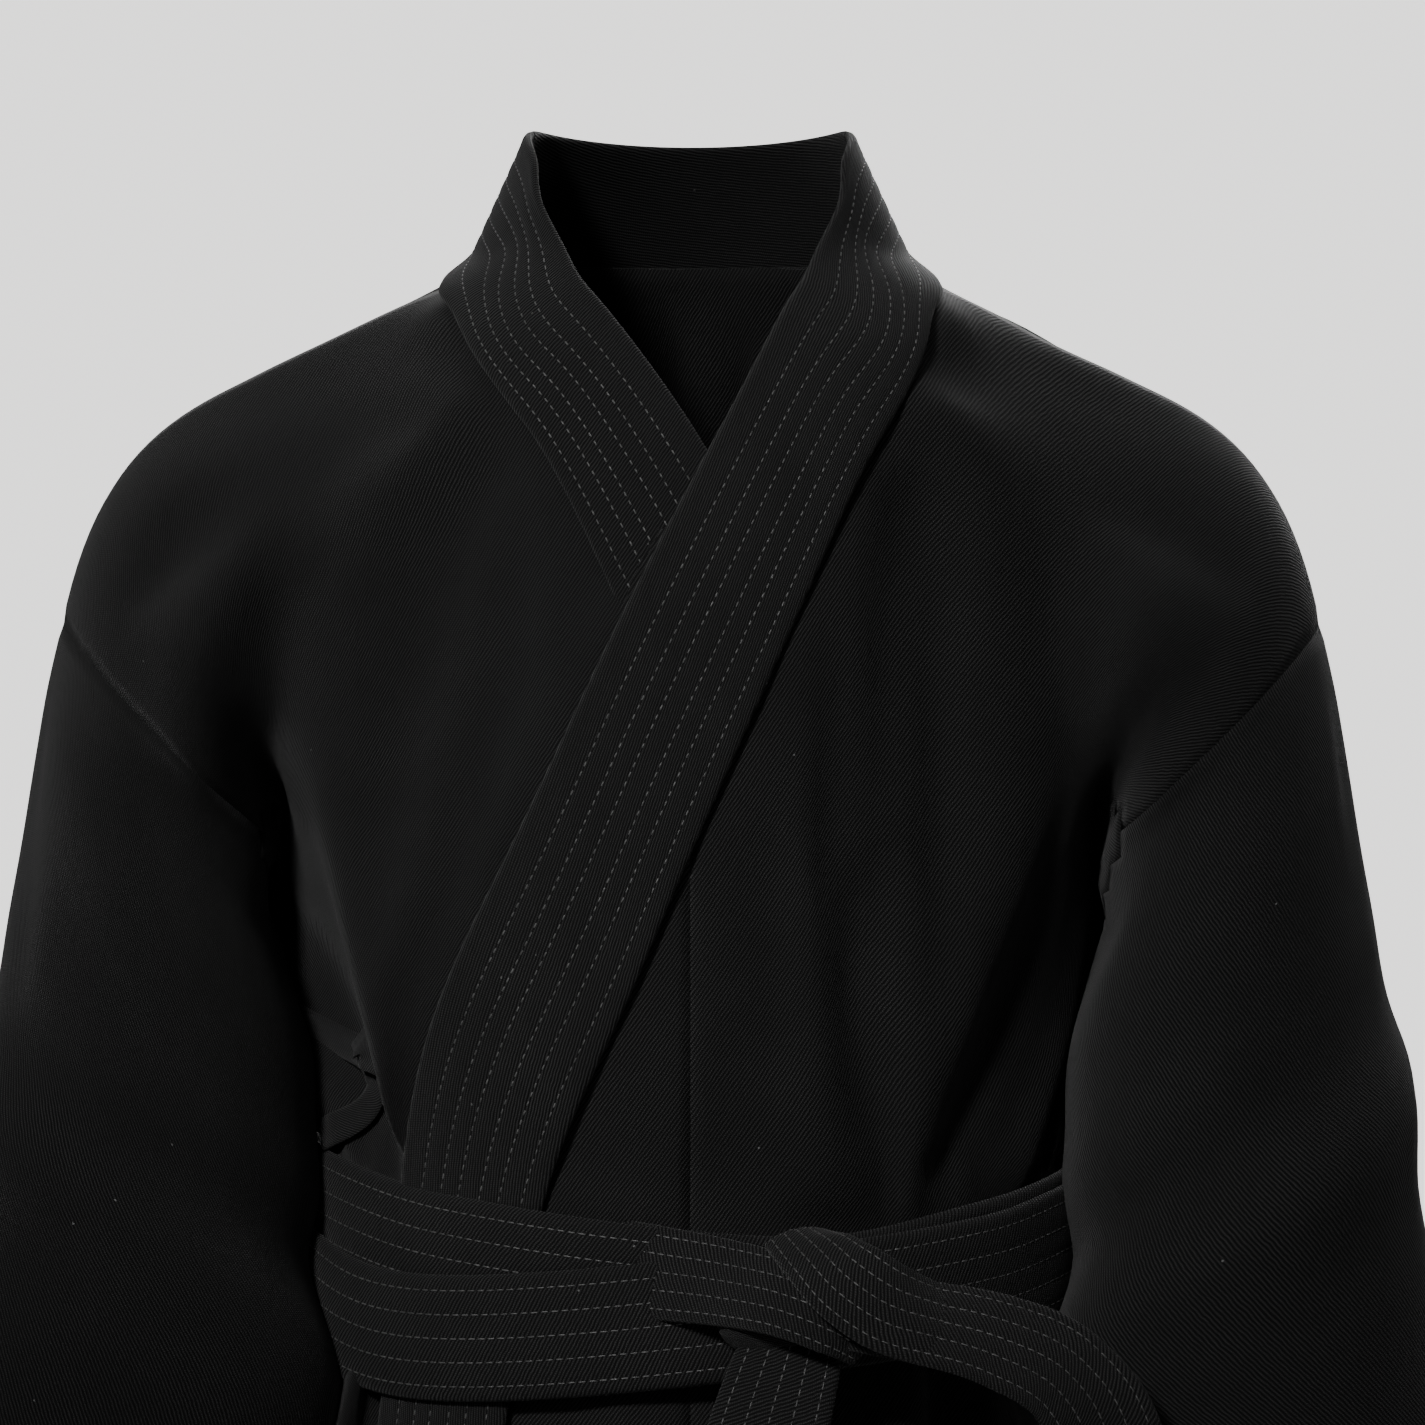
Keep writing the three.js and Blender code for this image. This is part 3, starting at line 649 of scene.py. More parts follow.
    def thread(self) -> bpy.types.Material:
        """Makes the grey sewing thread, twisted along its length.

        Returns:
            The material.
        """
        if "grey thread" in self.made:
            return self.made["grey thread"]
        mat, tree, shader = self._start("grey thread")
        n, link, m = tree.nodes, tree.links.new, self._math
        place = n.new("ShaderNodeTexCoord")
        noise = self._noise(tree, place.outputs["Object"], 900.0)
        worn = self._noise(tree, place.outputs["Object"], 60.0)
        both = m(tree, "MULTIPLY", m(tree, "ADD", noise.outputs["Fac"], worn.outputs["Fac"]), 0.5)
        ramp = self._ramp(tree, both, (0.006, 0.006, 0.006), (0.040, 0.0395, 0.039))
        ramp.color_ramp.elements[0].position = 0.35
        ramp.color_ramp.elements[1].position = 0.68
        link(ramp.outputs[0], shader.inputs["Base Color"])
        link(m(tree, "MULTIPLY_ADD", noise.outputs["Fac"], 0.2, 0.5), shader.inputs["Roughness"])
        self._bump(tree, shader, noise.outputs["Fac"], 0.1 * MM)
        self.made["grey thread"] = mat
        return mat

    def floor(self) -> bpy.types.Material:
        """Makes the plain pale floor.

        Returns:
            The material.
        """
        mat, tree, shader = self._start("pale floor")
        n, link, m = tree.nodes, tree.links.new, self._math
        place = n.new("ShaderNodeTexCoord")
        noise = self._noise(tree, place.outputs["Object"], 3.0)
        ramp = self._ramp(tree, noise.outputs["Fac"], (0.76, 0.755, 0.75), (0.80, 0.795, 0.79))
        link(ramp.outputs[0], shader.inputs["Base Color"])
        link(m(tree, "MULTIPLY_ADD", noise.outputs["Fac"], 0.1, 0.75), shader.inputs["Roughness"])
        return mat

    @staticmethod
    def _start(name: str) -> tuple[bpy.types.Material, bpy.types.NodeTree, bpy.types.Node]:
        """Makes an empty material.

        Args:
            name: Material name.

        Returns:
            The material, its node tree and its shader.
        """
        mat = bpy.data.materials.new(name)
        mat.use_nodes = True
        return mat, mat.node_tree, mat.node_tree.nodes["Principled BSDF"]


@dataclass(frozen=True)
class JacketSizes:
    """Sizes of the flat jacket cut and of its hanging shape, in metres.

    Attributes:
        cell: Size of one cloth cell.
        neck: Half width of the neck opening on the fold.
        yoke: Where the shoulder leaves the body, from the centre.
        outer: Outer sleeve line at the seam and the cuff (x, z).
        inner: Inner sleeve line at the seam and the cuff (x, z).
        depth: Half depth of the sleeve at the seam and the cuff.
        sleeve_y: Centre y of the sleeve at the seam and the cuff.
        frames: Frames the cloth is left to settle.
        dressed: Frame at which the bands and belt are in place.
        hold: How firmly the arms hold the sleeves.
        crown: How firmly the shoulders hold the cloth over them.
        flank: How firmly the bloused sides are held above the belt.
        chest: How firmly the folds in front of the armpits are held.
        bulge: How far the left and right sides stand out over the belt.
        flare: How far the inner sleeve line turns outwards at the cuff.
        under: How deep the cloth lies under the left and the right band.
        belt_ring: Half width and half depth of the cloth under the belt.
    """

    cell: float = 0.01
    neck: float = 0.07
    yoke: float = 0.09
    outer: tuple[float, ...] = (0.206, -0.120, 0.262, -0.458)
    inner: tuple[float, ...] = (0.133, -0.190, 0.105, -0.476)
    depth: tuple[float, float] = (0.062, 0.050)
    sleeve_y: tuple[float, float] = (-0.004, -0.068)
    frames: int = 55
    dressed: int = 15
    hold: float = 0.30
    crown: float = 0.95
    flank: float = 0.93
    chest: float = 0.6
    bulge: tuple[float, float] = (0.017, 0.030)
    flare: float = 0.058
    under: tuple[float, float] = (0.0032, 0.0075)
    belt_ring: tuple[float, float] = (0.1180, 0.0900)


class Piece(Enum):
    """The parts that the jacket cloth is cut into after it has settled."""

    LEFT_FRONT = 0
    LEFT_OVERLAP = 1
    RIGHT_FRONT = 2
    LEFT_BACK = 3
    RIGHT_BACK = 4
    LEFT_SLEEVE = 5
    RIGHT_SLEEVE = 6
    LEFT_GUSSET = 7
    RIGHT_GUSSET = 8


class JacketCloth:
    """The jacket's cloth as one welded sheet: both fronts, both backs and both sleeves."""

    def __init__(self, sizes: JacketSizes) -> None:
        """Lays out the cut.

        Args:
            sizes: Sizes of the cut and of the hanging shape.
        """
        self.sizes = sizes
        c = sizes.cell
        self.half = round(SHOULDER / c)
        self.sleeve = round(SLEEVE_LENGTH / c)
        self.deep = round(ARMHOLE / c)
        self.hem = round((JACKET_LENGTH + 0.02) / c)
        self.vent = round((VENT_TOP + 0.01) / c)
        self.seam = self._edge(BAND_SEAM)
        self.free = self._edge(BAND_FREE)
        self.keys: list[tuple[int, int, int]] = []
        self.index: dict[tuple[int, int, int], int] = {}
        self.places: list[np.ndarray] = []
        self.faces: list[tuple[int, ...]] = []
        self.piece: list[int] = []
        self._lay()

    @staticmethod
    def _edge(line: tuple[tuple[float, float], ...]) -> np.ndarray:
        """An edge of the left band on the body form, lowest point first."""
        p = catmull(np.array(line, float), 300)
        on = BODY.point(p[:, 0], p[:, 1] * MM)
        return on[np.argsort(on[:, 2])]

    def _edge_x(self, edge: np.ndarray, z: float) -> float:
        """How far an edge is from the middle at a height."""
        return float(np.interp(z, edge[:, 2], edge[:, 0]))

    def sleeve_half(self, a: float) -> float:
        """Half the flat sleeve's round at a distance from the centre back."""
        return ARMHOLE - 0.03 * min(max((a - SHOULDER) / SLEEVE_LENGTH, 0), 1)

    def sleeve_point(self, side: float, t: float, phi: float) -> tuple[np.ndarray, np.ndarray]:
        """A point of the hanging sleeve.

        Args:
            side: -1 for its front half and 1 for its back half.
            t: Share of the way from the seam to the cuff.
            phi: Angle from the outer fold to the underarm seam.

        Returns:
            The point, and the direction down the sleeve.
        """
        s = self.sizes
        outer, inner = (
            np.array([line[0] + (line[2] - line[0]) * t, 0, line[1] + (line[3] - line[1]) * t])
            for line in (s.outer, s.inner)
        )
        inner[0] += s.flare * float(smooth(0.58, 1.0, t)) - 0.003 * math.exp(-(((t - 0.45) / 0.25) ** 2))
        y = s.sleeve_y[0] + (s.sleeve_y[1] - s.sleeve_y[0]) * t
        d = s.depth[0] + (s.depth[1] - s.depth[0]) * t
        p = (outer + inner) / 2 + (outer - inner) / 2 * math.cos(phi)
        p[1] = y + side * d * math.sin(phi)
        radial = np.array([math.cos(phi), side * math.sin(phi), 0.35 * math.cos(phi)])
        p = p + radial * self.crease(side, t, phi)
        share = (1 + math.cos(phi)) / 2
        down = share * np.array([s.outer[2] - s.outer[0], -0.02, s.outer[3] - s.outer[1]])
        down = down + (1 - share) * np.array([s.inner[2] - s.inner[0], -0.02, s.inner[3] - s.inner[1]])
        return p, down / np.linalg.norm(down)

    @staticmethod
    def crease(side: float, t: float, phi: float) -> float:
        """How far the sleeve's hanging folds stand out.

        Args:
            side: -1 for its front half and 1 for its back half.
            t: Share of the way from the seam to the cuff.
            phi: Angle from the outer fold to the underarm seam.

        Returns:
            Height of the folds in metres.
        """
        rise = float(smooth(0.0, 0.12, t)) * (1 - 0.55 * float(smooth(0.75, 1.0, t)))
        drag = math.sin(2 * math.pi * (2.6 * t + 0.55 * side * phi / math.pi + 0.1))
        break_ = math.exp(-(((t - 0.45) / 0.14) ** 2)) * math.sin(2 * math.pi * (5.2 * t - 0.8 * phi / math.pi))
        flute = float(smooth(0.35, 1.0, t)) * math.sin(3 * phi + 1.2 * side)
        return rise * (0.0036 * drag * (0.35 + 0.65 * math.sin(phi / 2)) + 0.0030 * break_ + 0.0030 * flute)

    def place(self, side: int, i: int, j: int) -> np.ndarray:
        """Where a point of the cut starts, hanging on the wearer.

        Args:
            side: -1 for the front layer and 1 for the back layer.
            i: Cells from the centre back, positive to the wearer's left.
            j: Cells down from the shoulder fold.

        Returns:
            The point, in metres.
        """
        s = self.sizes
        a, sign = abs(i) * s.cell, (1 if i >= 0 else -1)
        v = j * s.cell
        phi = math.pi * min(j / self.deep, 1.0)
        if a > SHOULDER + 1e-9:
            p, _ = self.sleeve_point(side, (a - SHOULDER) / SLEEVE_LENGTH, phi)
            return np.array([p[0] * sign, p[1], p[2]])
        drop = 0.25 * min(max(a - 0.072, 0.0), 0.08)
        z = -v - drop * (1 - 0.5 * float(smooth(0.18, 0.4, v)))
        x = a * 0.95
        limit = min(a, s.yoke) * 0.95
        yc, w, d = (float(q) for q in BODY.oval(z))
        inside = min(limit, w * 0.97)
        y = yc + side * d * math.sqrt(1 - (inside / w) ** 2)
        ridge = math.sin(min(1.0, v / 0.09) * math.pi / 2)
        y = 0.006 + (y - 0.006) * (1 - float(smooth(0.060, 0.09, a)) * (1 - ridge))
        if a <= s.yoke:
            return np.array([x * sign, y, z])
        start = np.array([limit, y, z])
        seam, down = self.sleeve_point(side, 0.0, phi)
        low = float(smooth(ARMHOLE, ARMHOLE + 0.05, v))
        flank = np.array([w + 0.004, yc, z])
        end = seam
        blouse = math.exp(-(((v - 0.250) / 0.060) ** 2)) if v > ARMHOLE else 0.0
        if v > ARMHOLE:
            bulge = s.bulge[0] if sign > 0 else s.bulge[1]
            reach = (flank[0] + bulge * blouse - seam[0]) * low
            end = np.array([seam[0] + reach, seam[1] + 0.046 * blouse * low, z])
        span = SHOULDER - s.yoke
        flat = float(smooth(0.0, 0.09, v))
        t0 = np.array([1.32 - 0.38 * flat, -side * 0.42 * flat, -0.30 * (1 - flat)]) * span
        back = np.array([0.1 + 1.1 * blouse * (side < 0), -side * (1.0 - 0.4 * blouse), 0.0])
        t1 = (down * (1 - low) + back * low) * span * (1.45 - 0.55 * flat - 0.35 * low)
        t = (a - s.yoke) / span
        p = (2 * t**3 - 3 * t**2 + 1) * start + (t**3 - 2 * t**2 + t) * t0
        p = p + (3 * t**2 - 2 * t**3) * end + (t**3 - t**2) * t1
        if side < 0:
            fold = float(smooth(0.05, 0.10, v)) * (1 - float(smooth(0.17, 0.21, v)))
            line = 0.120 if sign > 0 else 0.134
            p[1] += fold * 0.014 * math.exp(-(((p[0] - line) / 0.011) ** 2))
            p[1] -= fold * 0.010 * math.exp(-(((p[0] - line - 0.026) / 0.014) ** 2))
        return np.array([p[0] * sign, p[1], p[2]])

    def flat(self, i: int, j: int) -> tuple[float, float]:
        """Where a point of the cut lies on the flat cloth, in metres."""
        a, sign = abs(i) * self.sizes.cell, (1 if i >= 0 else -1)
        v = j * self.sizes.cell
        ease = float(np.interp(v, [0, ARMHOLE, 0.37, 0.65], [1, 0.96, 0.84, 0.90]))
        if a > SHOULDER + 1e-9:
            return sign * (a - SHOULDER * (1 - ease)), -j / self.deep * self.sleeve_half(a)
        return sign * a * ease, -v

    def _vertex(self, side: int, i: int, j: int) -> int:
        """The number of a grid point, shared where the cloth is folded or sewn."""
        a = abs(i)
        fold = j == 0 and a >= round(self.sizes.neck / self.sizes.cell)
        flank = a == self.half and self.deep <= j <= self.vent
        under = a > self.half and j == self.deep
        key = (0 if fold or flank or under else side, i, j)
        if key not in self.index:
            self.index[key] = len(self.places)
            self.places.append(self.place(side, i, j))
            self.keys.append((side, i, j))
        return self.index[key]

    def _lay(self) -> None:
        """Makes every cell of the cut, leaving out the neck."""
        reach = self.half + self.sleeve
        for side in (-1, 1):
            for i in range(-reach, reach):
                for j in range(self.hem):
                    near, far = min(abs(i), abs(i + 1)), max(abs(i), abs(i + 1))
                    if not (far <= self.half or (near >= self.half and j < self.deep)):
                        continue
                    cell = ((i, j), (i, j + 1), (i + 1, j + 1), (i + 1, j))
                    middle = np.mean([self.place(side, *q) for q in cell], axis=0)
                    in_front = side == -1 and far <= self.half and middle[2] > -0.09
                    if in_front and abs(middle[0]) < self._band_x(middle[2]):
                        continue
                    numbers = [self._vertex(side, *q) for q in cell]
                    self.faces.append(tuple(numbers if side == -1 else numbers[::-1]))
                    self.piece.append(self._piece(side, i + 0.5, j + 0.5, middle).value)

    def _band_x(self, z: float) -> float:
        """The middle of the left band at a height."""
        return 0.5 * (self._edge_x(self.seam, z) + self._edge_x(self.free, z))

    def _piece(self, side: int, i: float, j: float, middle: np.ndarray) -> Piece:
        """Which piece a cell belongs to.

        Args:
            side: -1 for the front layer and 1 for the back layer.
            i: Cell place across the cut.
            j: Cell place down the cut.
            middle: The cell's starting place.

        Returns:
            The piece.
        """
        corner = abs(abs(i) - self.half) + abs(j - self.deep)
        if corner < 3.6 and (abs(i) < self.half or j < self.deep):
            return Piece.LEFT_GUSSET if i > 0 else Piece.RIGHT_GUSSET
        if abs(i) > self.half:
            return Piece.LEFT_SLEEVE if i > 0 else Piece.RIGHT_SLEEVE
        if side == 1:
            return Piece.LEFT_BACK if i > 0 else Piece.RIGHT_BACK
        if middle[0] < self._band_x(float(middle[2])):
            return Piece.RIGHT_FRONT
        return Piece.LEFT_FRONT if i > 0 else Piece.LEFT_OVERLAP

    def dressed(self) -> tuple[np.ndarray, np.ndarray]:
        """Where the bands and belt hold the cloth.

        Returns:
            The held places, and how firmly each point is held, 0 to 1.
        """
        sizes, belt = self.sizes, np.array(FIRST_TURN, float)
        target, held = np.array(self.places), np.zeros(len(self.places))
        for n, (side, i, j) in enumerate(self.keys):
            a = abs(i) * sizes.cell
            held[n] = self._grip(side, a, j * sizes.cell)
            if a > SHOULDER + 1e-9:
                continue
            x, y, z = target[n]
            edges = sorted((self._edge_x(self.seam, z), self._edge_x(self.free, z)))
            margin = 0.008
            left = edges[0] - margin < x < edges[1] + margin
            right = -edges[1] - margin < x < -edges[0] + margin and z > -0.135
            if (side == -1 or j == 0) and (left or right) and y < 0.03 and a < 0.2:
                _, w, _ = BODY.oval(z)
                turn = math.degrees(math.asin(max(-1, min(1, x / float(w)))))
                target[n], held[n] = BODY.point(turn, z, -sizes.under[0] if left else -sizes.under[1]), True
            if side == 1 and j == 0 and a <= sizes.neck + 0.005:
                yc, w, d = (float(q) - inset for q, inset in zip(BODY.oval(0.0), (0.0, sizes.under[0], sizes.under[0])))
                xx = max(-w * 0.999, min(w * 0.999, x))
                target[n], held[n] = (xx, yc + d * math.sqrt(1 - (xx / w) ** 2), 0.0015), True
            if j == 0 and abs(a - sizes.neck - 0.005) < 0.006:
                more = a - sizes.neck
                target[n], held[n] = (math.copysign(0.068 + more, i), 0.009, -0.001 - 0.4 * more), True
            share = a / SHOULDER
            turn = 90 * min(1.35 * share - 0.35 * share**2, 1.0)
            turn = (180 - turn if side == 1 else turn) * (1 if i >= 0 else -1)
            middle = np.interp(turn, belt[:, 0], belt[:, 1]) * MM + 0.008
            if abs(z - middle) < 0.016:
                t = math.radians(turn)
                ring = sizes.belt_ring
                target[n], held[n] = (ring[0] * math.sin(t), -ring[1] * math.cos(t), z), True
        return target, held

    def _grip(self, side: int, a: float, v: float) -> float:
        """How firmly the shoulders, arms and sides hold a point of the cloth.

        Args:
            side: -1 for the front layer and 1 for the back layer.
            a: Distance from the centre back on the cut, in metres.
            v: Distance below the shoulder fold, in metres.

        Returns:
            The share, 0 to 1.
        """
        s = self.sizes
        reach = float(smooth(0.19, 0.26, a) * (1 - smooth(ARMHOLE - 0.05, ARMHOLE + 0.02, v)))
        top = float(smooth(0.075, 0.10, a) * (1 - smooth(0.02, 0.06, v)))
        flank = s.flank * float(smooth(0.19, 0.23, a) * smooth(0.16, 0.19, v) * (1 - smooth(0.29, 0.32, v)))
        if side < 0 and a <= SHOULDER:
            fold = float(smooth(0.10, 0.14, a) * smooth(0.05, 0.08, v) * (1 - smooth(0.16, 0.20, v)))
            flank = max(flank, s.chest * fold)
        sleeve = float(smooth(SHOULDER, SHOULDER + 0.05, a))
        crown = s.crown * max(reach, top) * (1 - sleeve)
        return max(crown, s.hold * sleeve, flank if a <= SHOULDER + 1e-9 else 0.0)

    def settle(self) -> np.ndarray:
        """Hangs the cloth on a wearer form, ties it and lets it settle.

        Returns:
            The settled places.
        """
        target, held = self.dressed()
        mesh = bpy.data.meshes.new("cloth")
        mesh.from_pydata([tuple(p) for p in self.places], [], self.faces)
        obj = bpy.data.objects.new("cloth", mesh)
        scene = bpy.context.scene
        scene.collection.objects.link(obj)
        obj.shape_key_add(name="Basis")
        flat, tied = obj.shape_key_add(name="flat"), obj.shape_key_add(name="tied")
        cut = np.array([(u, 0.0, v) for u, v in (self.flat(i, j) for _, i, j in self.keys)])
        flat.data.foreach_set("co", cut.ravel())
        tied.data.foreach_set("co", target.ravel())
        for frame, value in ((1, 0.0), (self.sizes.dressed, 1.0)):
            tied.value = value
            tied.keyframe_insert("value", frame=frame)
        group = obj.vertex_groups.new(name="held")
        for n in np.nonzero(held > 0.01)[0]:
            group.add([int(n)], float(held[n]), "REPLACE")
        cloth = obj.modifiers.new("cloth", "CLOTH")
        self._stuff(cloth, flat)
        wearer = self._wearer()
        for frame in range(1, self.sizes.frames + 1):
            scene.frame_set(frame)
        graph = bpy.context.evaluated_depsgraph_get()
        result = np.empty(len(self.places) * 3)
        shape = obj.evaluated_get(graph).to_mesh()
        shape.vertices.foreach_get("co", result)
        for o in (obj, wearer):
            bpy.data.objects.remove(o, do_unlink=True)
        scene.frame_set(1)
        return result.reshape(-1, 3)

    def _stuff(self, cloth: bpy.types.Modifier, rest: bpy.types.ShapeKey) -> None:
        """Sets how the cloth behaves.

        Args:
            cloth: The cloth modifier.
            rest: Shape key with the flat cut.
        """
        s = cloth.settings
        s.quality, s.mass, s.air_damping = 5, 0.25, 2.0
        s.tension_stiffness = s.compression_stiffness = 60
        s.shear_stiffness, s.bending_stiffness = 30, 2.5
        s.tension_damping = s.compression_damping = 15
        s.shear_damping, s.bending_damping = 10, 1.0
        s.vertex_group_mass, s.pin_stiffness, s.rest_shape_key = "held", 1, rest
        hit = cloth.collision_settings
        hit.distance_min, hit.collision_quality, hit.use_self_collision = 0.003, 2, False
        cloth.point_cache.frame_end = self.sizes.frames

    @staticmethod
    def _wearer() -> bpy.types.Object:
        """Makes the temporary wearer form that the cloth hangs on.

        Returns:
            The form, to be removed afterwards.
        """
        turns = np.linspace(0, 360, 41)[:-1]
        heights = np.array(WEARER.rows, float)[:, 0] * MM
        body = Sheet()
        rings = np.stack([WEARER.point(turns, z) for z in heights[::-1]])
        body.grid(rings, np.zeros(rings.shape[:2] + (2,)), closed=True)
        obj = body.make("wearer")
        shell = bmesh.new()
        shell.from_mesh(obj.data)
        bmesh.ops.holes_fill(shell, edges=[e for e in shell.edges if e.is_boundary])
        bmesh.ops.recalc_face_normals(shell, faces=shell.faces)
        shell.to_mesh(obj.data)
        shell.free()
        obj.modifiers.new("hit", "COLLISION")
        hit = obj.collision
        hit.thickness_outer, hit.thickness_inner, hit.cloth_friction = 0.003, 0.02, 2.0
        return obj


class Jacket:
    """The jacket's cloth pieces, cut from the settled sheet."""

    NODES = {
        Piece.LEFT_FRONT: ("left_front", ("left_front",), (0.25, 0.62)),
        Piece.LEFT_OVERLAP: ("left_overlap_panel", ("left_overlap_panel",), (0.10, 0.45)),
        Piece.RIGHT_FRONT: ("right_front", ("right_front",), (0.25, 0.62)),
        Piece.LEFT_BACK: ("left_back", ("left_back",), (0.25, 0.62)),
        Piece.RIGHT_BACK: ("right_back", ("right_back",), (0.25, 0.62)),
        Piece.LEFT_SLEEVE: ("left_sleeve", ("left_upper_sleeve", "left_lower_sleeve"), (0.36, 0.34)),
        Piece.RIGHT_SLEEVE: ("right_sleeve", ("right_upper_sleeve", "right_lower_sleeve"), (0.36, 0.34)),
        Piece.LEFT_GUSSET: ("left_gusset", ("left_underarm_gusset",), (0.07, 0.07)),
        Piece.RIGHT_GUSSET: ("right_gusset", ("right_underarm_gusset",), (0.07, 0.07)),
    }

    def __init__(self, cloth: JacketCloth, materials: Materials) -> None:
        """Settles the cloth and makes its pieces.

        Args:
            cloth: The cut.
            materials: The material library.
        """
        self.cloth, self.materials = cloth, materials
        self._subdivide(cloth.settle())
        self._seams()
        sleeves = [Piece.LEFT_SLEEVE.value, Piece.RIGHT_SLEEVE.value]
        body = self.quads[~np.isin(self.which, sleeves)]
        self.tree = BVHTree.FromPolygons([tuple(p) for p in self.points], [tuple(f) for f in body.tolist()])
        for piece in Piece:
            self._cut(piece)

    def _subdivide(self, settled: np.ndarray) -> None:
        """Rounds the settled cloth and reads it back.

        Args:
            settled: The settled places.
        """
        sheet = Sheet(settled.tolist(), list(self.cloth.faces), [self.cloth.flat(i, j) for _, i, j in self.cloth.keys])
        obj = sheet.make("whole_cloth")
        for _ in Piece:
            obj.data.materials.append(None)
        obj.data.polygons.foreach_set("material_index", self.cloth.piece)
        fine = obj.modifiers.new("fine", "SUBSURF")
        fine.levels = fine.render_levels = 1
        apply_modifiers(obj)
        mesh = obj.data
        count = len(mesh.vertices)
        self.points, self.normals = np.empty(count * 3), np.empty(count * 3)
        mesh.vertices.foreach_get("co", self.points)
        mesh.vertex_normals.foreach_get("vector", self.normals)
        self.points, self.normals = self.points.reshape(-1, 3), self.normals.reshape(-1, 3)
        self.quads = np.empty(len(mesh.loops), int)
        mesh.loops.foreach_get("vertex_index", self.quads)
        self.quads = self.quads.reshape(-1, 4)
        uv = np.empty(len(mesh.loops) * 2)
        mesh.uv_layers[0].data.foreach_get("uv", uv)
        self.flat = np.zeros((count, 2))
        self.flat[self.quads.ravel()] = uv.reshape(-1, 2)
        self.which = np.empty(len(mesh.polygons), int)
        mesh.polygons.foreach_get("material_index", self.which)
        bpy.data.objects.remove(obj, do_unlink=True)

    def _seams(self) -> None:
        """Presses the sewn lines into the cloth: the sleeve seams and the front edge seam."""
        u, v = self.flat[:, 0], -self.flat[:, 1]
        front = self.points[:, 1] < 0.0
        sleeve = np.exp(-(((np.abs(u) - SHOULDER) / 0.003) ** 2)) * (v < ARMHOLE)
        edge = np.exp(-((u / 0.003) ** 2)) * (v > 0.15) * front
        self.points -= self.normals * (0.0007 * sleeve + 0.0006 * edge)[:, None]

    def _cut(self, piece: Piece) -> None:
        """Makes one piece of the settled cloth.

        Args:
            piece: Which piece.
        """
        name, nodes, flat = self.NODES[piece]
        quads = self.quads[self.which == piece.value]
        used, inverse = np.unique(quads, return_inverse=True)
        faces = [tuple(f) for f in inverse.reshape(-1, 4).tolist()]
        sheet = Sheet(self.points[used].tolist(), faces, self.flat[used].tolist())
        finish = SLEEVE_TWILL if "sleeve" in name else TWILL
        obj = sheet.make(name, self.materials.cloth(finish))
        area = self.flat_area(quads)
        if "gusset" in name:
            area = sum(p.area for p in obj.data.polygons)
        thicken(obj, CLOTH_THICK)
        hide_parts(*nodes)
        if "sleeve" in name:
            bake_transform(obj)
        else:
            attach(obj, "jacket")
        width, length = flat
        while area > width * length:
            width *= 1.05
        LOG.info("%s: %d faces, %.3f m2 flat", name, len(quads), area)

    def flat_area(self, quads: np.ndarray) -> float:
        """The area of some faces on the flat cloth, in square metres."""
        p = self.flat[quads]
        q = np.roll(p, -1, axis=1)
        return float(abs(0.5 * (p[..., 0] * q[..., 1] - p[..., 1] * q[..., 0]).sum(1)).sum())

    def outside(self, origin: np.ndarray, toward: np.ndarray, lift: float) -> np.ndarray:
        """The first cloth met from outside.

        Args:
            origin: Where to look from.
            toward: Direction to look in.
            lift: Distance to stay off the cloth.

        Returns:
            The point, lifted off the cloth; the origin if nothing is met.
        """
        direction = Vector(toward).normalized()
        hit, _, _, _ = self.tree.ray_cast(Vector(origin), direction)
        if hit is None:
            return np.array(origin, float)
        return np.array(hit - direction * lift)


def strap(
    name: str, base: np.ndarray, normals: np.ndarray, thickness: float, material: bpy.types.Material,
    relief: np.ndarray | None = None,
) -> bpy.types.Object:
    """Makes a closed flat strap with rounded edges.

    Args:
        name: Object name.
        base: (rows, columns, 3) middle surface of the strap.
        normals: Outward normal at each of its points.
        thickness: Thickness in the middle of the strap.
        material: Its material.
        relief: Extra height of the outer surface, per point.

    Returns:
        The object.
    """
    rows, cols = base.shape[:2]
    across = np.abs(np.linspace(-1, 1, cols))
    half = thickness / 2 * (1 - across**14) ** 0.5 + 0.00004
    outer = base + normals * (half[None, :, None] + (0 if relief is None else relief[..., None]))
    inner = base - normals * half[None, :, None]
    width = np.linalg.norm(np.diff(base, axis=1), axis=2).sum(1).mean()
    steps = np.linalg.norm(np.diff(base[:, cols // 2], axis=0), axis=1)
    along = np.concatenate([[0], np.cumsum(steps)])
    flat = np.stack(np.broadcast_arrays(np.linspace(0, width, cols)[None, :], along[:, None]), -1)
    ring = np.concatenate([outer, inner[:, ::-1]], axis=1)
    sheet = Sheet()
    sheet.grid(ring, np.concatenate([flat, flat[:, ::-1]], axis=1), closed=True)
    last = (rows - 1) * 2 * cols
    for c in range(cols - 1):
        mirror = 2 * cols - 1 - c
        sheet.faces.append((c, mirror, mirror - 1, c + 1))
        sheet.faces.append((last + c, last + c + 1, last + mirror - 1, last + mirror))
    return sheet.make(name, material)


def frame_normals(base: np.ndarray, outward: np.ndarray) -> np.ndarray:
    """Finds the normals of a grid surface.

    Args:
        base: (rows, columns, 3) points.
        outward: (rows, 3) rough outward directions.

    Returns:
        Unit normals on the outward side.
    """
    along, across = np.gradient(base, axis=0), np.gradient(base, axis=1)
    n = unit(np.cross(along, across))
    side = np.sign((n * outward[:, None, :]).sum(-1, keepdims=True))
    return n * np.where(side == 0, 1, side)


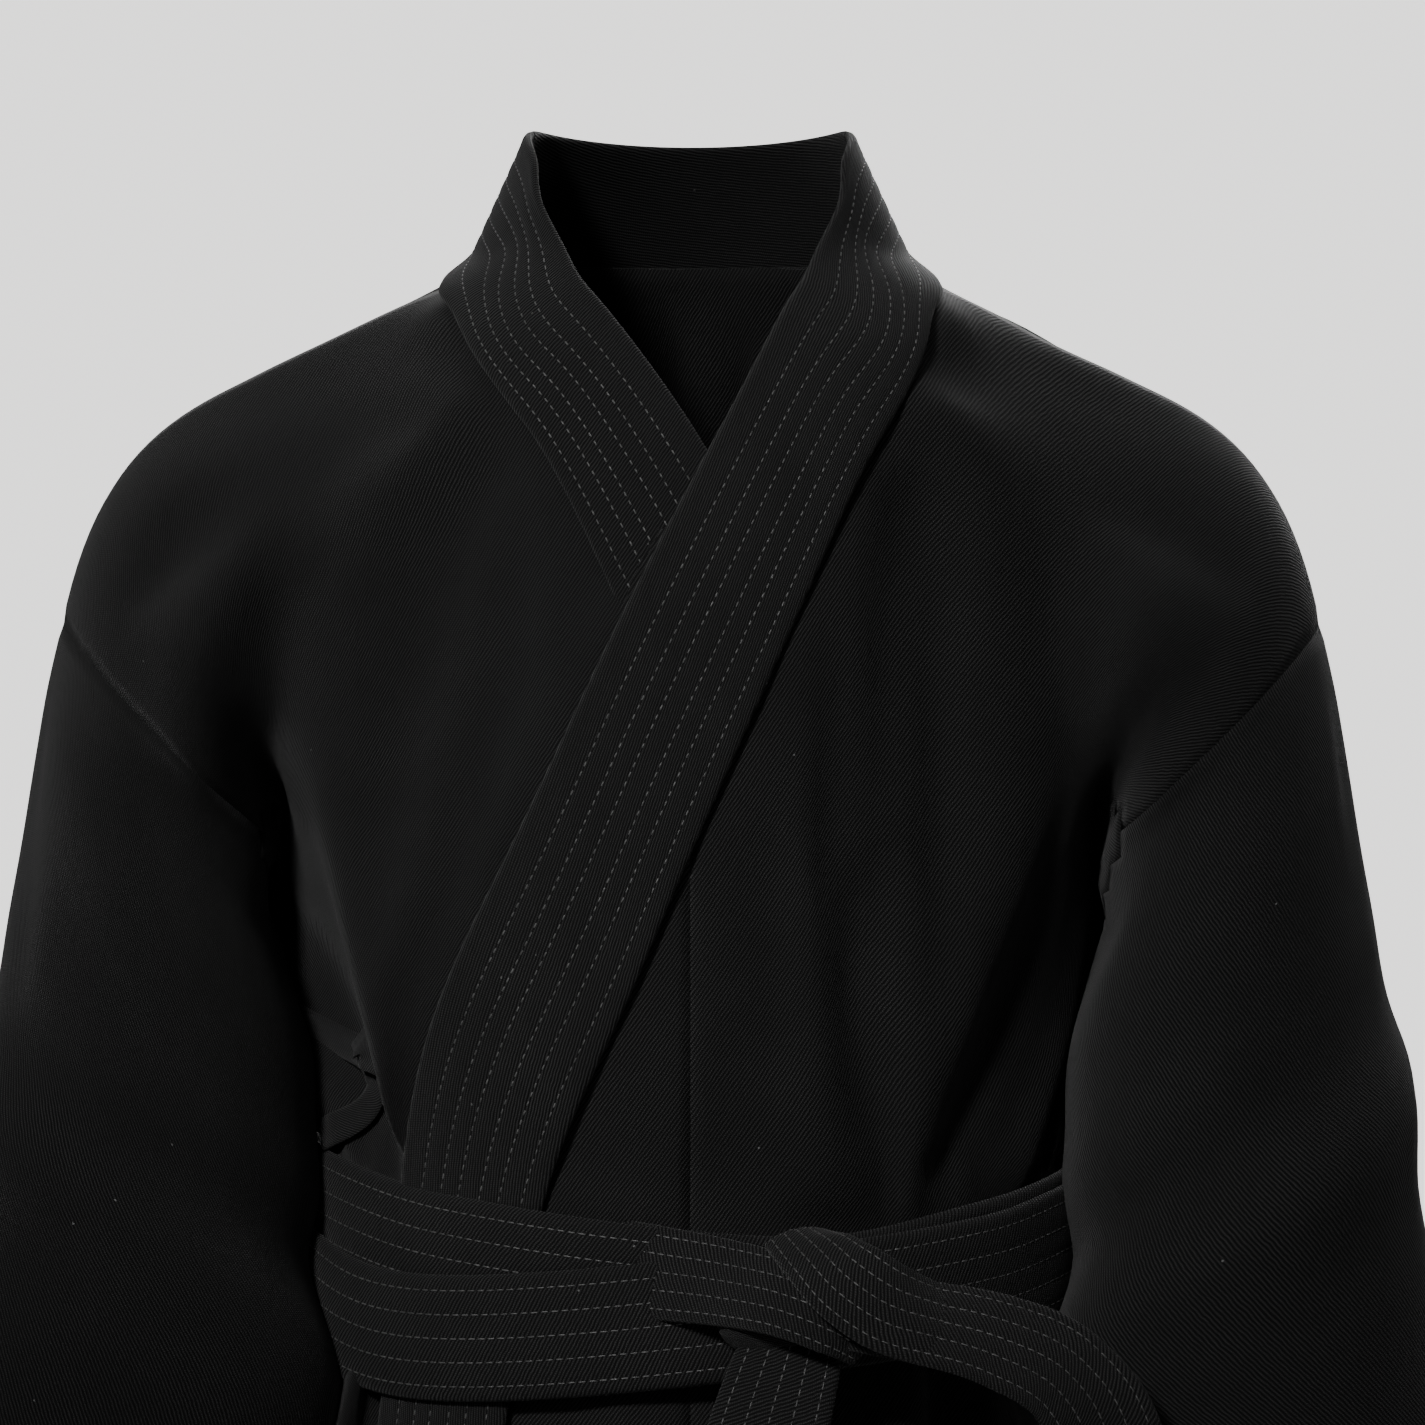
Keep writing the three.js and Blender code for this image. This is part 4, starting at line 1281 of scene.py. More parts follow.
def wander(count: int, seed: int, size: float, waves: tuple[float, ...] = (1.3, 2.9, 5.3)) -> np.ndarray:
    """A gentle random wave along a length.

    Args:
        count: Number of points.
        seed: Seed of the randomness.
        size: Largest height.
        waves: Waves over the length.

    Returns:
        The heights.
    """
    rng = np.random.default_rng(SEED + seed)
    s = np.linspace(0, 1, count)
    total = sum(np.sin(2 * math.pi * (w * s + rng.random())) / (k + 1) for k, w in enumerate(waves))
    return size * total / 1.8


@dataclass
class Bands:
    """The two lapel bands and the collar behind the neck, each sewn through with rows of stitches.

    Attributes:
        rows: Number of stitch rows.
        spacing: Distance between the rows.
        margin: Distance from the seam edge to the first row.
        pitch: Distance from one stitch to the next.
        stitch: Length of a stitch.
        thread: Half the thickness of the thread.
        thick: Thickness of a band.
        columns: Points across a band.
        length: Points along a lapel.
        behind: Points along the collar.
        smoothing: Times that the band is smoothed along its length.
        shift: Degrees that the right lapel lies further across the chest.
    """

    materials: Materials
    rows: int = 6
    spacing: float = 0.0068
    margin: float = 0.0062
    pitch: float = 0.0033
    stitch: float = 0.0018
    thread: float = 0.00022
    thick: float = 0.0030
    columns: int = 57
    length: int = 340
    behind: int = 130
    smoothing: int = 180
    shift: float = 5.5

    def build(self) -> list[bpy.types.Object]:
        """Lays the whole band from hem to hem, then makes both lapels and the collar from it.

        Returns:
            The three bands.
        """
        seam, free = (catmull(np.array(e, float), self.length) for e in (BAND_SEAM, BAND_FREE))
        turns = np.linspace(91.0, 269.0, self.behind)
        back = [np.stack([turns, np.full_like(turns, low)], -1) for low in (-2.0, 44.0)]
        back[1][:, 1] -= 3.0 * np.sin(np.radians(turns - 90)) ** 2
        right = [
            np.stack([360 - e[:, 0] + self.shift * smooth(0.0, 60.0, -e[:, 1]), e[:, 1]], -1) for e in (seam, free)
        ]
        whole = [np.concatenate([e[::-1], b, r]) for e, b, r in zip((seam, free), back, right)]
        under = self._under(np.maximum(seam[:, 1], free[:, 1]) * MM)
        depth = np.concatenate([np.zeros(self.length + self.behind), under])
        t = np.linspace(0, 1, self.columns)[None, :]
        turn = whole[0][:, :1] * (1 - t) + whole[1][:, :1] * t
        z = (whole[0][:, 1:] * (1 - t) + whole[1][:, 1:] * t) * MM
        sway = wander(len(turn), 3, 0.0009, (2.3, 5.9, 11.3))[:, None] * (0.4 + 0.6 * t)
        base = BODY.point(turn, z, depth[:, None] + sway)
        for _ in range(self.smoothing):
            base[1:-1] = (base[:-2] + 2 * base[1:-1] + base[2:]) / 4
        normals = frame_normals(base, base[:, self.columns // 2] * np.array([1, 1, 0]))
        cuts = (0, self.length, self.length + self.behind, 2 * self.length + self.behind)
        looks = (("left_lapel", BAND_CLOTH), ("collar_back", BAND_CLOTH), ("right_lapel", BAND_CLOTH_RIGHT))
        made = []
        for (name, finish), low, high in zip(looks, cuts, cuts[1:]):
            made.append(self._band(name, base[low:high], normals[low:high], finish))
        return made

    @staticmethod
    def _under(z: np.ndarray) -> np.ndarray:
        """How deep the right lapel lies under the left one at each height."""
        return -0.0042 * smooth(0.0, 0.04, -z) - 0.0115 * smooth(0.105, 0.165, -z)

    def _band(self, name: str, base: np.ndarray, normals: np.ndarray, finish: ClothFinish) -> bpy.types.Object:
        """Makes one stretch of the band.

        Args:
            name: Object and CAD node name.
            base: Its middle surface, from the sewn edge to the free edge.
            normals: Its outward normals.
            finish: Cloth finish.

        Returns:
            The band, with its stitches riding with it.
        """
        t = np.linspace(0, 1, self.columns)[None, :]
        lines = self.margin + self.spacing * np.arange(self.rows)
        across = t * BAND_WIDTH
        groove = sum(np.exp(-(((across - x) / 0.0011) ** 2)) for x in lines)
        swell = np.exp(-(((across - BAND_WIDTH + 0.002) / 0.0022) ** 2))
        relief = (-0.00030 * groove + 0.00035 * swell) * np.ones((len(base), 1))
        obj = strap(name, base, normals, self.thick, self.materials.cloth(finish), relief)
        sewn = Stitches()
        for x in lines:
            c = int(round(x / BAND_WIDTH * (self.columns - 1)))
            line = base[:, c] + normals[:, c] * (self.thick / 2 - 0.00022)
            sewn.run(line, normals[:, c], self.pitch, self.stitch, self.thread)
        thread = sewn.make(f"{name}_stitches", self.materials.thread())
        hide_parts(name)
        for o in (obj, thread):
            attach(o, "jacket")
        return obj


@dataclass
class InnerLayers:
    """What lies under the jacket's outer cloth: the overlap panel and the shoulder lining."""

    jacket: Jacket
    materials: Materials

    def build(self) -> None:
        """Makes both layers as offsets of the settled cloth."""
        u, v = self.jacket.flat[:, 0], -self.jacket.flat[:, 1]
        quads = self.jacket.quads
        fronts = np.isin(self.jacket.which, [Piece.LEFT_FRONT.value, Piece.LEFT_OVERLAP.value])
        panels = (Piece.LEFT_FRONT, Piece.RIGHT_FRONT, Piece.LEFT_BACK, Piece.RIGHT_BACK)
        body = np.isin(self.jacket.which, [p.value for p in panels])
        panel = fronts & ((u > 0.005) & (u < 0.150) & (v > 0.17) & (v < 0.595))[quads].all(1)
        yoke = body & ((np.abs(u) < 0.20) & (v < 0.105))[quads].all(1)
        self._layer("right_overlap_panel", quads[panel], 0.0046, (0.15, 0.43))
        self._layer("shoulder_lining", quads[yoke], 0.0024, (0.42, 0.21))

    def _layer(self, name: str, quads: np.ndarray, inset: float, flat: tuple[float, float]) -> None:
        """Makes one inner layer.

        Args:
            name: Object and CAD node name.
            quads: Faces of the settled cloth that it follows.
            inset: Distance inside the outer cloth.
            flat: Width and length of its cut.
        """
        points = self.jacket.points - self.jacket.normals * inset
        used, inverse = np.unique(quads, return_inverse=True)
        faces = [tuple(f) for f in inverse.reshape(-1, 4).tolist()]
        sheet = Sheet(points[used].tolist(), faces, self.jacket.flat[used].tolist())
        obj = sheet.make(name, self.materials.cloth(TWILL))
        area = self.jacket.flat_area(quads)
        thicken(obj, 0.0009)
        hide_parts(name)
        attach(obj, "jacket")
        width = flat[0]
        while area > width * flat[1]:
            width *= 1.05
        LOG.info("%s: %d faces", name, len(quads))


@dataclass
class Belt:
    """The belt: two turns round the waist, a half knot and two hanging ends.

    Attributes:
        rows: Number of stitch rows along the belt.
        first: Lift of the middle of the first turn off the waist form.
        second: The same for the second turn.
    """

    materials: Materials
    rows: int = 5
    first: float = 0.0042
    second: float = 0.0084
    pitch: float = 0.0034
    stitch: float = 0.0024
    thread: float = 0.00020
    columns: int = 33

    def build(self) -> None:
        """Makes every piece of the belt."""
        self._turn("belt_first_wrap", FIRST_TURN, self.first, 1)
        self._turn("belt_second_wrap", SECOND_TURN, self.second, 2)
        self._core()
        self._folds()
        self._tail("belt_left_tail", "left_belt_end", *LEFT_TAIL, 4)
        self._tail("belt_right_tail", "right_belt_end", *RIGHT_TAIL, 5)

    def _turn(self, name: str, path: tuple[tuple[float, float], ...], lift: float, seed: int) -> None:
        """Makes one turn round the waist.

        Args:
            name: Object and CAD node name.
            path: (turn, height in millimetres) of its middle line.
            lift: Distance of its middle off the waist form.
            seed: Seed of its unevenness.
        """
        line = catmull(np.array(path, float), 300)
        middle = CINCH.point(line[:, 0], line[:, 1] * MM, lift)
        radial = unit(CINCH.point(line[:, 0], line[:, 1] * MM, lift + 0.01) - middle)
        along = unit(np.gradient(middle, axis=0))
        across = unit(np.cross(along, radial))
        across *= np.sign(across[:, 2:])
        t = np.linspace(-0.5, 0.5, self.columns)
        spots = middle[:, None, :] + across[:, None, :] * (t * BELT_WIDTH)[None, :, None]
        turn = np.degrees(np.arctan2(spots[..., 0] / 0.120, -spots[..., 1] / 0.092))
        turn = np.where(np.abs(turn - line[:, :1]) > 180, turn + 360 * np.sign(line[:, :1]), turn)
        sway, twist = wander(300, seed, 0.0008), wander(300, seed + 9, 0.0010, (3.1, 7.3, 11.9))
        uneven = sway[:, None] + twist[:, None] * t[None, :]
        cup = -0.0011 * (2 * np.abs(t)) ** 3
        base = CINCH.point(turn, spots[..., 2], lift + uneven + cup[None, :])
        normals = frame_normals(base, radial)
        self._finish(name, base, normals, "jacket", "draped", ["left_front", "right_front"], seed)

    def _finish(
        self, name: str, base: np.ndarray, normals: np.ndarray, body: str, held: str, rests: list[str], seed: int
    ) -> bpy.types.Object:
        """Makes a belt piece from its middle surface and sews it.

        Args:
            name: Object and CAD node name.
            base: Its middle surface.
            normals: Its outward normals.
            body: The CAD body it rides on.
            held: How the strap is held; not used.
            rests: What it rests on; not used.
            seed: Seed of its small unevenness.

        Returns:
            The belt piece.
        """
        cols = base.shape[1]
        t = np.linspace(0, 1, cols)[None, :]
        lines = (np.arange(self.rows) + 0.5) / self.rows * 0.94 + 0.03
        groove = sum(np.exp(-(((t - x) / 0.022) ** 2)) for x in lines)
        rng = np.random.default_rng(SEED + seed)
        relief = -0.00024 * groove + rng.normal(0, 0.00002, base.shape[:2])
        obj = strap(name, base, normals, BELT_THICK, self.materials.cloth(BELT_CLOTH), relief)
        sewn = Stitches()
        for x in lines:
            c = int(round(x * (cols - 1)))
            line = base[:, c] + normals[:, c] * (BELT_THICK / 2 - 0.00018)
            sewn.run(line, normals[:, c], self.pitch, self.stitch, self.thread)
        thread = sewn.make(f"{name}_stitches", self.materials.thread())
        if name in ("belt_first_wrap", "belt_second_wrap", "belt_left_tail", "belt_right_tail"):
            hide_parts(name)
        for o in (obj, thread):
            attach(o, body)
        return obj

    def _ribbon(
        self, points: tuple, widths: tuple, faces: tuple, count: int, bow: float = 0.0
    ) -> tuple[np.ndarray, np.ndarray]:
        """Lays a strap along a free line.

        Args:
            points: Points of its middle line, in millimetres.
            widths: Width at each point, in millimetres.
            faces: Direction the strap faces at each point.
            count: Steps along the line.
            bow: How much the strap's middle stands proud of its edges, in metres.

        Returns:
            Its middle surface and normals.
        """
        middle = catmull(np.array(points, float) * MM, count)
        wide = np.interp(np.linspace(0, 1, count), np.linspace(0, 1, len(widths)), widths) * MM
        facing = unit(catmull(np.array(faces, float), count))
        along = unit(np.gradient(middle, axis=0))
        across = unit(np.cross(along, facing))
        normal = unit(np.cross(across, along))
        t = np.linspace(-0.5, 0.5, self.columns)
        base = middle[:, None, :] + across[:, None, :] * (t[None, :] * wide[:, None])[..., None]
        base = base + normal[:, None, :] * (bow * (1 - (2 * t) ** 2))[None, :, None]
        return base, frame_normals(base, facing)

    def _tail(self, name: str, body: str, points: tuple, widths: tuple, faces: tuple, seed: int) -> None:
        """Makes a hanging end of the belt.

        Args:
            name: Object and CAD node name.
            body: The CAD body it swings with.
            points: Middle line, in millimetres.
            widths: Width at each point, in millimetres.
            faces: Direction it faces at each point.
            seed: Seed of its unevenness.
        """
        base, normals = self._ribbon(points, widths, faces, 150, 0.0012)
        base = base + normals * wander(150, seed, 0.0010)[:, None, None]
        self._finish(name, base, normals, body, "hung", ["belt_knot_wrap"], seed)

    def _core(self) -> None:
        """Makes the bundle inside the knot: a crowned fold pulled in along two creases."""
        turns, rings = np.linspace(0, 2 * math.pi, 97)[:-1], np.linspace(0.02, math.pi - 0.02, 49)
        a, b = np.meshgrid(turns, rings)
        x, y, z = np.sin(b) * np.cos(a), np.sin(b) * np.sin(a), np.cos(b)
        square = (np.abs(x) ** 2.6 + np.abs(y) ** 2.6 + np.abs(z) ** 2.6) ** (-1 / 2.6)
        upper = 0.16 * np.exp(-(((z - 0.25 * x - 0.15) / 0.10) ** 2))
        crease = 1 - upper - 0.12 * np.exp(-(((z + 0.35 * x + 0.35) / 0.08) ** 2))
        scale = square * crease
        places = np.stack([0.031 + x * scale * 0.023, -0.1085 + y * scale * 0.0105, -0.334 + z * scale * 0.0150], -1)
        sheet = Sheet()
        sheet.grid(places, np.stack([a * 0.02, b * 0.03], -1), closed=True)
        sheet.faces.append(tuple(range(96)))
        sheet.faces.append(tuple((len(rings) - 1) * 96 + k for k in range(96))[::-1])
        obj = sheet.make("belt_knot_core", self.materials.cloth(BELT_CLOTH))
        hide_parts("belt_knot_core")
        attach(obj, "jacket")
        LOG.info("belt_knot_core: %d faces", len(sheet.faces))

    def _folds(self) -> None:
        """Makes the two folded straps that cross over the knot."""
        over = self._ribbon(*KNOT_OVER, 80, 0.0022)
        across = self._ribbon(*KNOT_ACROSS, 90, 0.0026)
        wrap = self._finish("belt_knot_wrap", *across, "jacket", "folded", ["belt_knot_core"], 6)
        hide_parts("belt_knot_wrap")
        self._finish("belt_knot_under", *over, "jacket", "folded", ["belt_knot_core"], 7)


@dataclass
class Ties:
    """The tapes at the sides, the trouser drawstrings and the vent patches."""

    jacket: Jacket
    materials: Materials
    thick: float = 0.0009

    def build(self) -> None:
        """Makes every tie and patch."""
        loop = ((-84, -239), (-79, -247), (-71, -254), (-63, -259), (-60, -268), (-66, -279), (-73, -284))
        self._tape("outer_tie_loop", loop, 0.011, 0.0022)
        self._tape("outer_tie_knot", ((-60, -250), (-57.5, -256), (-58, -263)), 0.015, 0.0042)
        self._tape("inner_tie_front", ((50, -249), (56, -250.5), (61, -249.5), (67, -251)), 0.012, -0.0026)
        self._tape("inner_tie_side", ((68.5, -250), (74, -249), (80, -251), (86, -250)), 0.012, -0.0026)
        for side in Side:
            self._patch(side)
            self._drawstring(side)

    def _on_cloth(self, turn: float, z: float, lift: float) -> np.ndarray:
        """A point on the settled cloth, met from outside.

        Args:
            turn: Degrees round the body.
            z: Height in metres.
            lift: Distance off the cloth, negative for inside it.

        Returns:
            The point.
        """
        far, near = BODY.point(turn, z, 0.045), BODY.point(turn, z, 0.0)
        return self.jacket.outside(far, near - far, lift)

    def _tape(self, name: str, path: tuple[tuple[float, float], ...], width: float, lift: float) -> None:
        """Makes a tape that lies on the settled cloth.

        Args:
            name: Object and CAD node name.
            path: (turn, height in millimetres) of its middle line.
            width: Width in metres.
            lift: Distance off the cloth.
        """
        line = catmull(np.array(path, float), 48)
        middle = np.array([self._on_cloth(t, z * MM, lift) for t, z in line])
        for _ in range(3):
            middle[1:-1] = (middle[:-2] + 2 * middle[1:-1] + middle[2:]) / 4
        out = unit(np.array([BODY.point(t, z * MM, 0.01) - BODY.point(t, z * MM, 0.0) for t, z in line]))
        across = unit(np.cross(np.gradient(middle, axis=0), out))
        t = np.linspace(-0.5, 0.5, 9)
        base = middle[:, None, :] + across[:, None, :] * (t * width)[None, :, None]
        obj = strap(name, base, frame_normals(base, out), self.thick, self.materials.cloth(TAPE_CLOTH))
        self._declare(obj, name, (width, self._length(middle)), ["left_front"], Slot.TAPE)

    @staticmethod
    def _length(line: np.ndarray) -> float:
        """The length of a line of points."""
        return round(float(np.linalg.norm(np.diff(line, axis=0), axis=1).sum()), 3)

    @staticmethod
    def _declare(
        obj: bpy.types.Object, node: str, flat: tuple[float, float], rests: list[str], slot: Slot, held: str = "laid"
    ) -> None:
        """Hides the CAD part, rides a small flat piece with the jacket and logs its size.

        Args:
            obj: The piece.
            node: The CAD node it stands for.
            flat: Its flat width and length.
            rests: What it rests on; not used.
            slot: Its material slot; not used.
            held: How it is held; not used.
        """
        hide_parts(node)
        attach(obj, "jacket")
        LOG.info("%s: %.3f by %.3f m", node, *flat)

    def _patch(self, side: Side) -> None:
        """Makes the patch that strengthens the top of a side vent.

        Args:
            side: Which side.
        """
        turns, heights = np.linspace(80, 100, 15) * side.value, np.linspace(-0.472, -0.438, 15)
        base = np.array([[self._on_cloth(t, z, 0.0010) for t in turns] for z in heights])
        for _ in range(2):
            base[1:-1, 1:-1] = (base[:-2, 1:-1] + base[2:, 1:-1] + base[1:-1, :-2] + base[1:-1, 2:]) / 4
        out = np.tile([side.value, 0.0, 0.0], (15, 1))
        name = f"{side.word}_vent_patch"
        obj = strap(name, base, frame_normals(base, out), 0.0010, self.materials.cloth(TWILL))
        size = (self._length(base[7]), self._length(base[:, 7]))
        self._declare(obj, name, size, [f"{side.word}_front"], Slot.TWILL)

    def _drawstring(self, side: Side) -> None:
        """Makes one hanging end of the trouser drawstring.

        Args:
            side: Which side.
        """
        z = np.linspace(-0.306, -0.396, 60)
        turn = (5.5 + 1.2 * np.sin((z + 0.306) * 55)) * side.value
        middle = HIPS.point(turn, z, 0.0026)
        across = np.tile([1.0, 0.0, 0.0], (60, 1))
        t = np.linspace(-0.5, 0.5, 9)
        base = middle[:, None, :] + across[:, None, :] * (t * 0.010)[None, :, None]
        out = np.tile([0.0, -1.0, 0.0], (60, 1))
        name = f"{side.word}_drawstring"
        obj = strap(name, base, frame_normals(base, out), 0.0011, self.materials.cloth(TAPE_CLOTH))
        self._declare(obj, name, (0.010, self._length(middle)), ["trouser_waistband"], Slot.TAPE, "hung")


@dataclass
class Trousers:
    """The trousers: two legs, the crotch gusset and the waistband.

    Attributes:
        top: Height of the top of the legs.
        fork: Height at which the legs part.
        hem: Height of the hems.
        knee: Height of the knee joint.
    """

    materials: Materials
    top: float = -0.312
    fork: float = -0.515
    hem: float = -1.094
    knee: float = -0.770

    # Left leg sections: (height, centre x, centre y, half width, half depth) in millimetres.
    LEG = (
        (-480, 64, 0, 58, 88), (-560, 70, 0, 66, 92), (-640, 76, 0, 71, 90), (-770, 84, -2, 72, 84),
        (-900, 91, 0, 72, 80), (-1095, 98, 4, 72, 78),
    )

    def build(self) -> None:
        """Makes the legs, gusset and waistband."""
        for side in Side:
            self._leg(side)
        self._gusset()
        self._waistband()

    def _section(self, z: np.ndarray) -> tuple[np.ndarray, ...]:
        """The left leg's centre and half sizes at some heights."""
        r = np.array(self.LEG, float)[::-1] * MM
        return tuple(np.interp(z, r[:, 0], r[:, k]) for k in (1, 2, 3, 4))

    @staticmethod
    def _creases(angle: np.ndarray, z: np.ndarray, side: Side) -> np.ndarray:
        """How far the hanging folds of a leg stand in or out.

        Args:
            angle: Angle round the leg in degrees, 0 outside and -90 front.
            z: Height in metres.
            side: Which leg.

        Returns:
            Height of the folds in metres.
        """
        a = np.radians(angle)
        k = side.value
        hang = smooth(-0.50, -0.64, z) * (1 - 0.35 * smooth(-0.70, -0.77, z))
        fold = 0.0040 * np.sin(3 * a + 9 * (z + 0.6) + 0.7 * k) + 0.0025 * np.sin(7 * a - 14 * z + 1.1 * k)
        knee = np.exp(-(((z + 0.79) / 0.07) ** 2)) * 0.0030 * np.sin(85 * z + 1.3 * np.sin(a) + k)
        knee = knee * (0.4 + 0.6 * np.cos(a + 1.2) ** 2)
        ankle = smooth(-0.93, -1.06, z) * 0.0026 * np.sin(95 * z + 1.7 * np.sin(a + k))
        crotch = np.exp(-(((z + 0.53) / 0.06) ** 2)) * 0.0028 * np.sin(60 * (z + 0.35 * np.cos(a)))
        return hang * fold + knee + ankle + crotch - 0.0035

    def _leg(self, side: Side) -> None:
        """Makes one leg, from the waist to the hem.

        Args:
            side: Which leg.
        """
        outer, inner = 73, 14
        z = np.linspace(self.top, self.hem, 230)[:, None]
        share = np.linspace(0, 1, outer)[None, :]
        cx, cy, w, d = (q[:, None] for q in self._section(z[:, 0]))
        angle = np.concatenate([-150 + 300 * share[0], np.linspace(150, 210, inner + 2)[1:-1]])[None, :]
        rad = np.radians(angle)
        tube = np.stack(np.broadcast_arrays(cx + w * np.cos(rad), cy + d * np.sin(rad), z), -1)
        turn = np.concatenate([0.4 + 179.2 * share[0], np.full(inner, 180.0)])[None, :]
        hips = HIPS.point(turn * np.ones_like(z), z * np.ones_like(turn), -0.0012)
        mix = smooth(-0.455, -0.60, z)[..., None]
        places = hips * (1 - mix) + tube * mix
        out = unit(np.stack(np.broadcast_arrays(np.cos(rad) * d, np.sin(rad) * w, 0 * z), -1))
        places = places + out * (self._creases(angle, z, side) * (0.15 + 0.85 * mix[..., 0]))[..., None]
        gather = 0.0011 * np.sin(np.radians(turn) * 38) * np.exp(-(((z + 0.325) / 0.02) ** 2))
        places = places + out * gather[..., None]
        hem_roll = 0.0008 * np.exp(-(((z - self.hem - 0.022) / 0.0016) ** 2))
        places = places - out * hem_roll[..., None]
        places[..., 0] = np.maximum(places[..., 0], 0.0006) * side.value
        round_ = np.cumsum(np.concatenate([[0.0], np.full(outer + inner - 1, 0.0048)]))
        flat = np.stack(np.broadcast_arrays(round_[None, :], z), -1)
        sheet = Sheet(places.reshape(-1, 3).tolist(), [], flat.reshape(-1, 2).tolist())
        cols, fork_row = outer + inner, int(np.argmax(z[:, 0] < self.fork))
        for r in range(len(z) - 1):
            last = cols if r >= fork_row else outer - 1
            for c in range(last):
                e = (c + 1) % cols
                quad = (r * cols + c, r * cols + e, (r + 1) * cols + e, (r + 1) * cols + c)
                sheet.faces.append(quad if side is Side.LEFT else quad[::-1])
        used = sorted({n for f in sheet.faces for n in f})
        number = {n: k for k, n in enumerate(used)}
        faces = [tuple(number[n] for n in f) for f in sheet.faces]
        sheet = Sheet([sheet.points[n] for n in used], faces, [sheet.uvs[n] for n in used])
        name = f"{side.word}_trouser"
        obj = sheet.make(name, self.materials.cloth(TROUSER_TWILL))
        thicken(obj, CLOTH_THICK)
        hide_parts(f"{name}_leg", f"{name}_shin")
        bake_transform(obj)
        LOG.info("%s: %d faces", name, len(sheet.faces))

    def _gusset(self) -> None:
        """Makes the four-cornered gusset let in between the legs."""
        rows, cols = 31, 21
        s, t = np.linspace(-1, 1, rows)[:, None], np.linspace(-1, 1, cols)[None, :]
        width = 0.030 * (1 - np.abs(s)) + 0.002
        x = t * width
        y = s * 0.078 * np.ones_like(t)
        z = -0.5445 + 0.020 * s**2 - 0.020 * (np.abs(x) / 0.03) ** 1.5
        base = np.stack(np.broadcast_arrays(x, y, z), -1)
        out = np.tile([0.0, 0.0, -1.0], (rows, 1))
        obj = strap("trouser_gusset", base, frame_normals(base, out), CLOTH_THICK, self.materials.cloth(TROUSER_TWILL))
        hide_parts("trouser_gusset")
        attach(obj, "jacket")
        LOG.info("trouser_gusset built")

    def _waistband(self) -> None:
        """Makes the gathered waistband."""
        turn = np.linspace(0, 360, 361)[:, None]
        z = np.linspace(-0.3245, -0.2875, 17)[None, :]
        gather = 0.0007 * np.sin(np.radians(turn) * 46 + 0.8 * np.sin(np.radians(turn) * 5))
        base = HIPS.point(turn * np.ones_like(z), z * np.ones_like(turn), -0.0006 + gather * np.ones_like(z))
        out = HIPS.point(turn[:, 0], np.full(361, -0.3), 0.01) - HIPS.point(turn[:, 0], np.full(361, -0.3), 0.0)
        obj = strap("trouser_waistband", base, frame_normals(base, out), 0.0026, self.materials.cloth(TROUSER_TWILL))
        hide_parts("trouser_waistband")
        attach(obj, "jacket")
        LOG.info("trouser_waistband built")


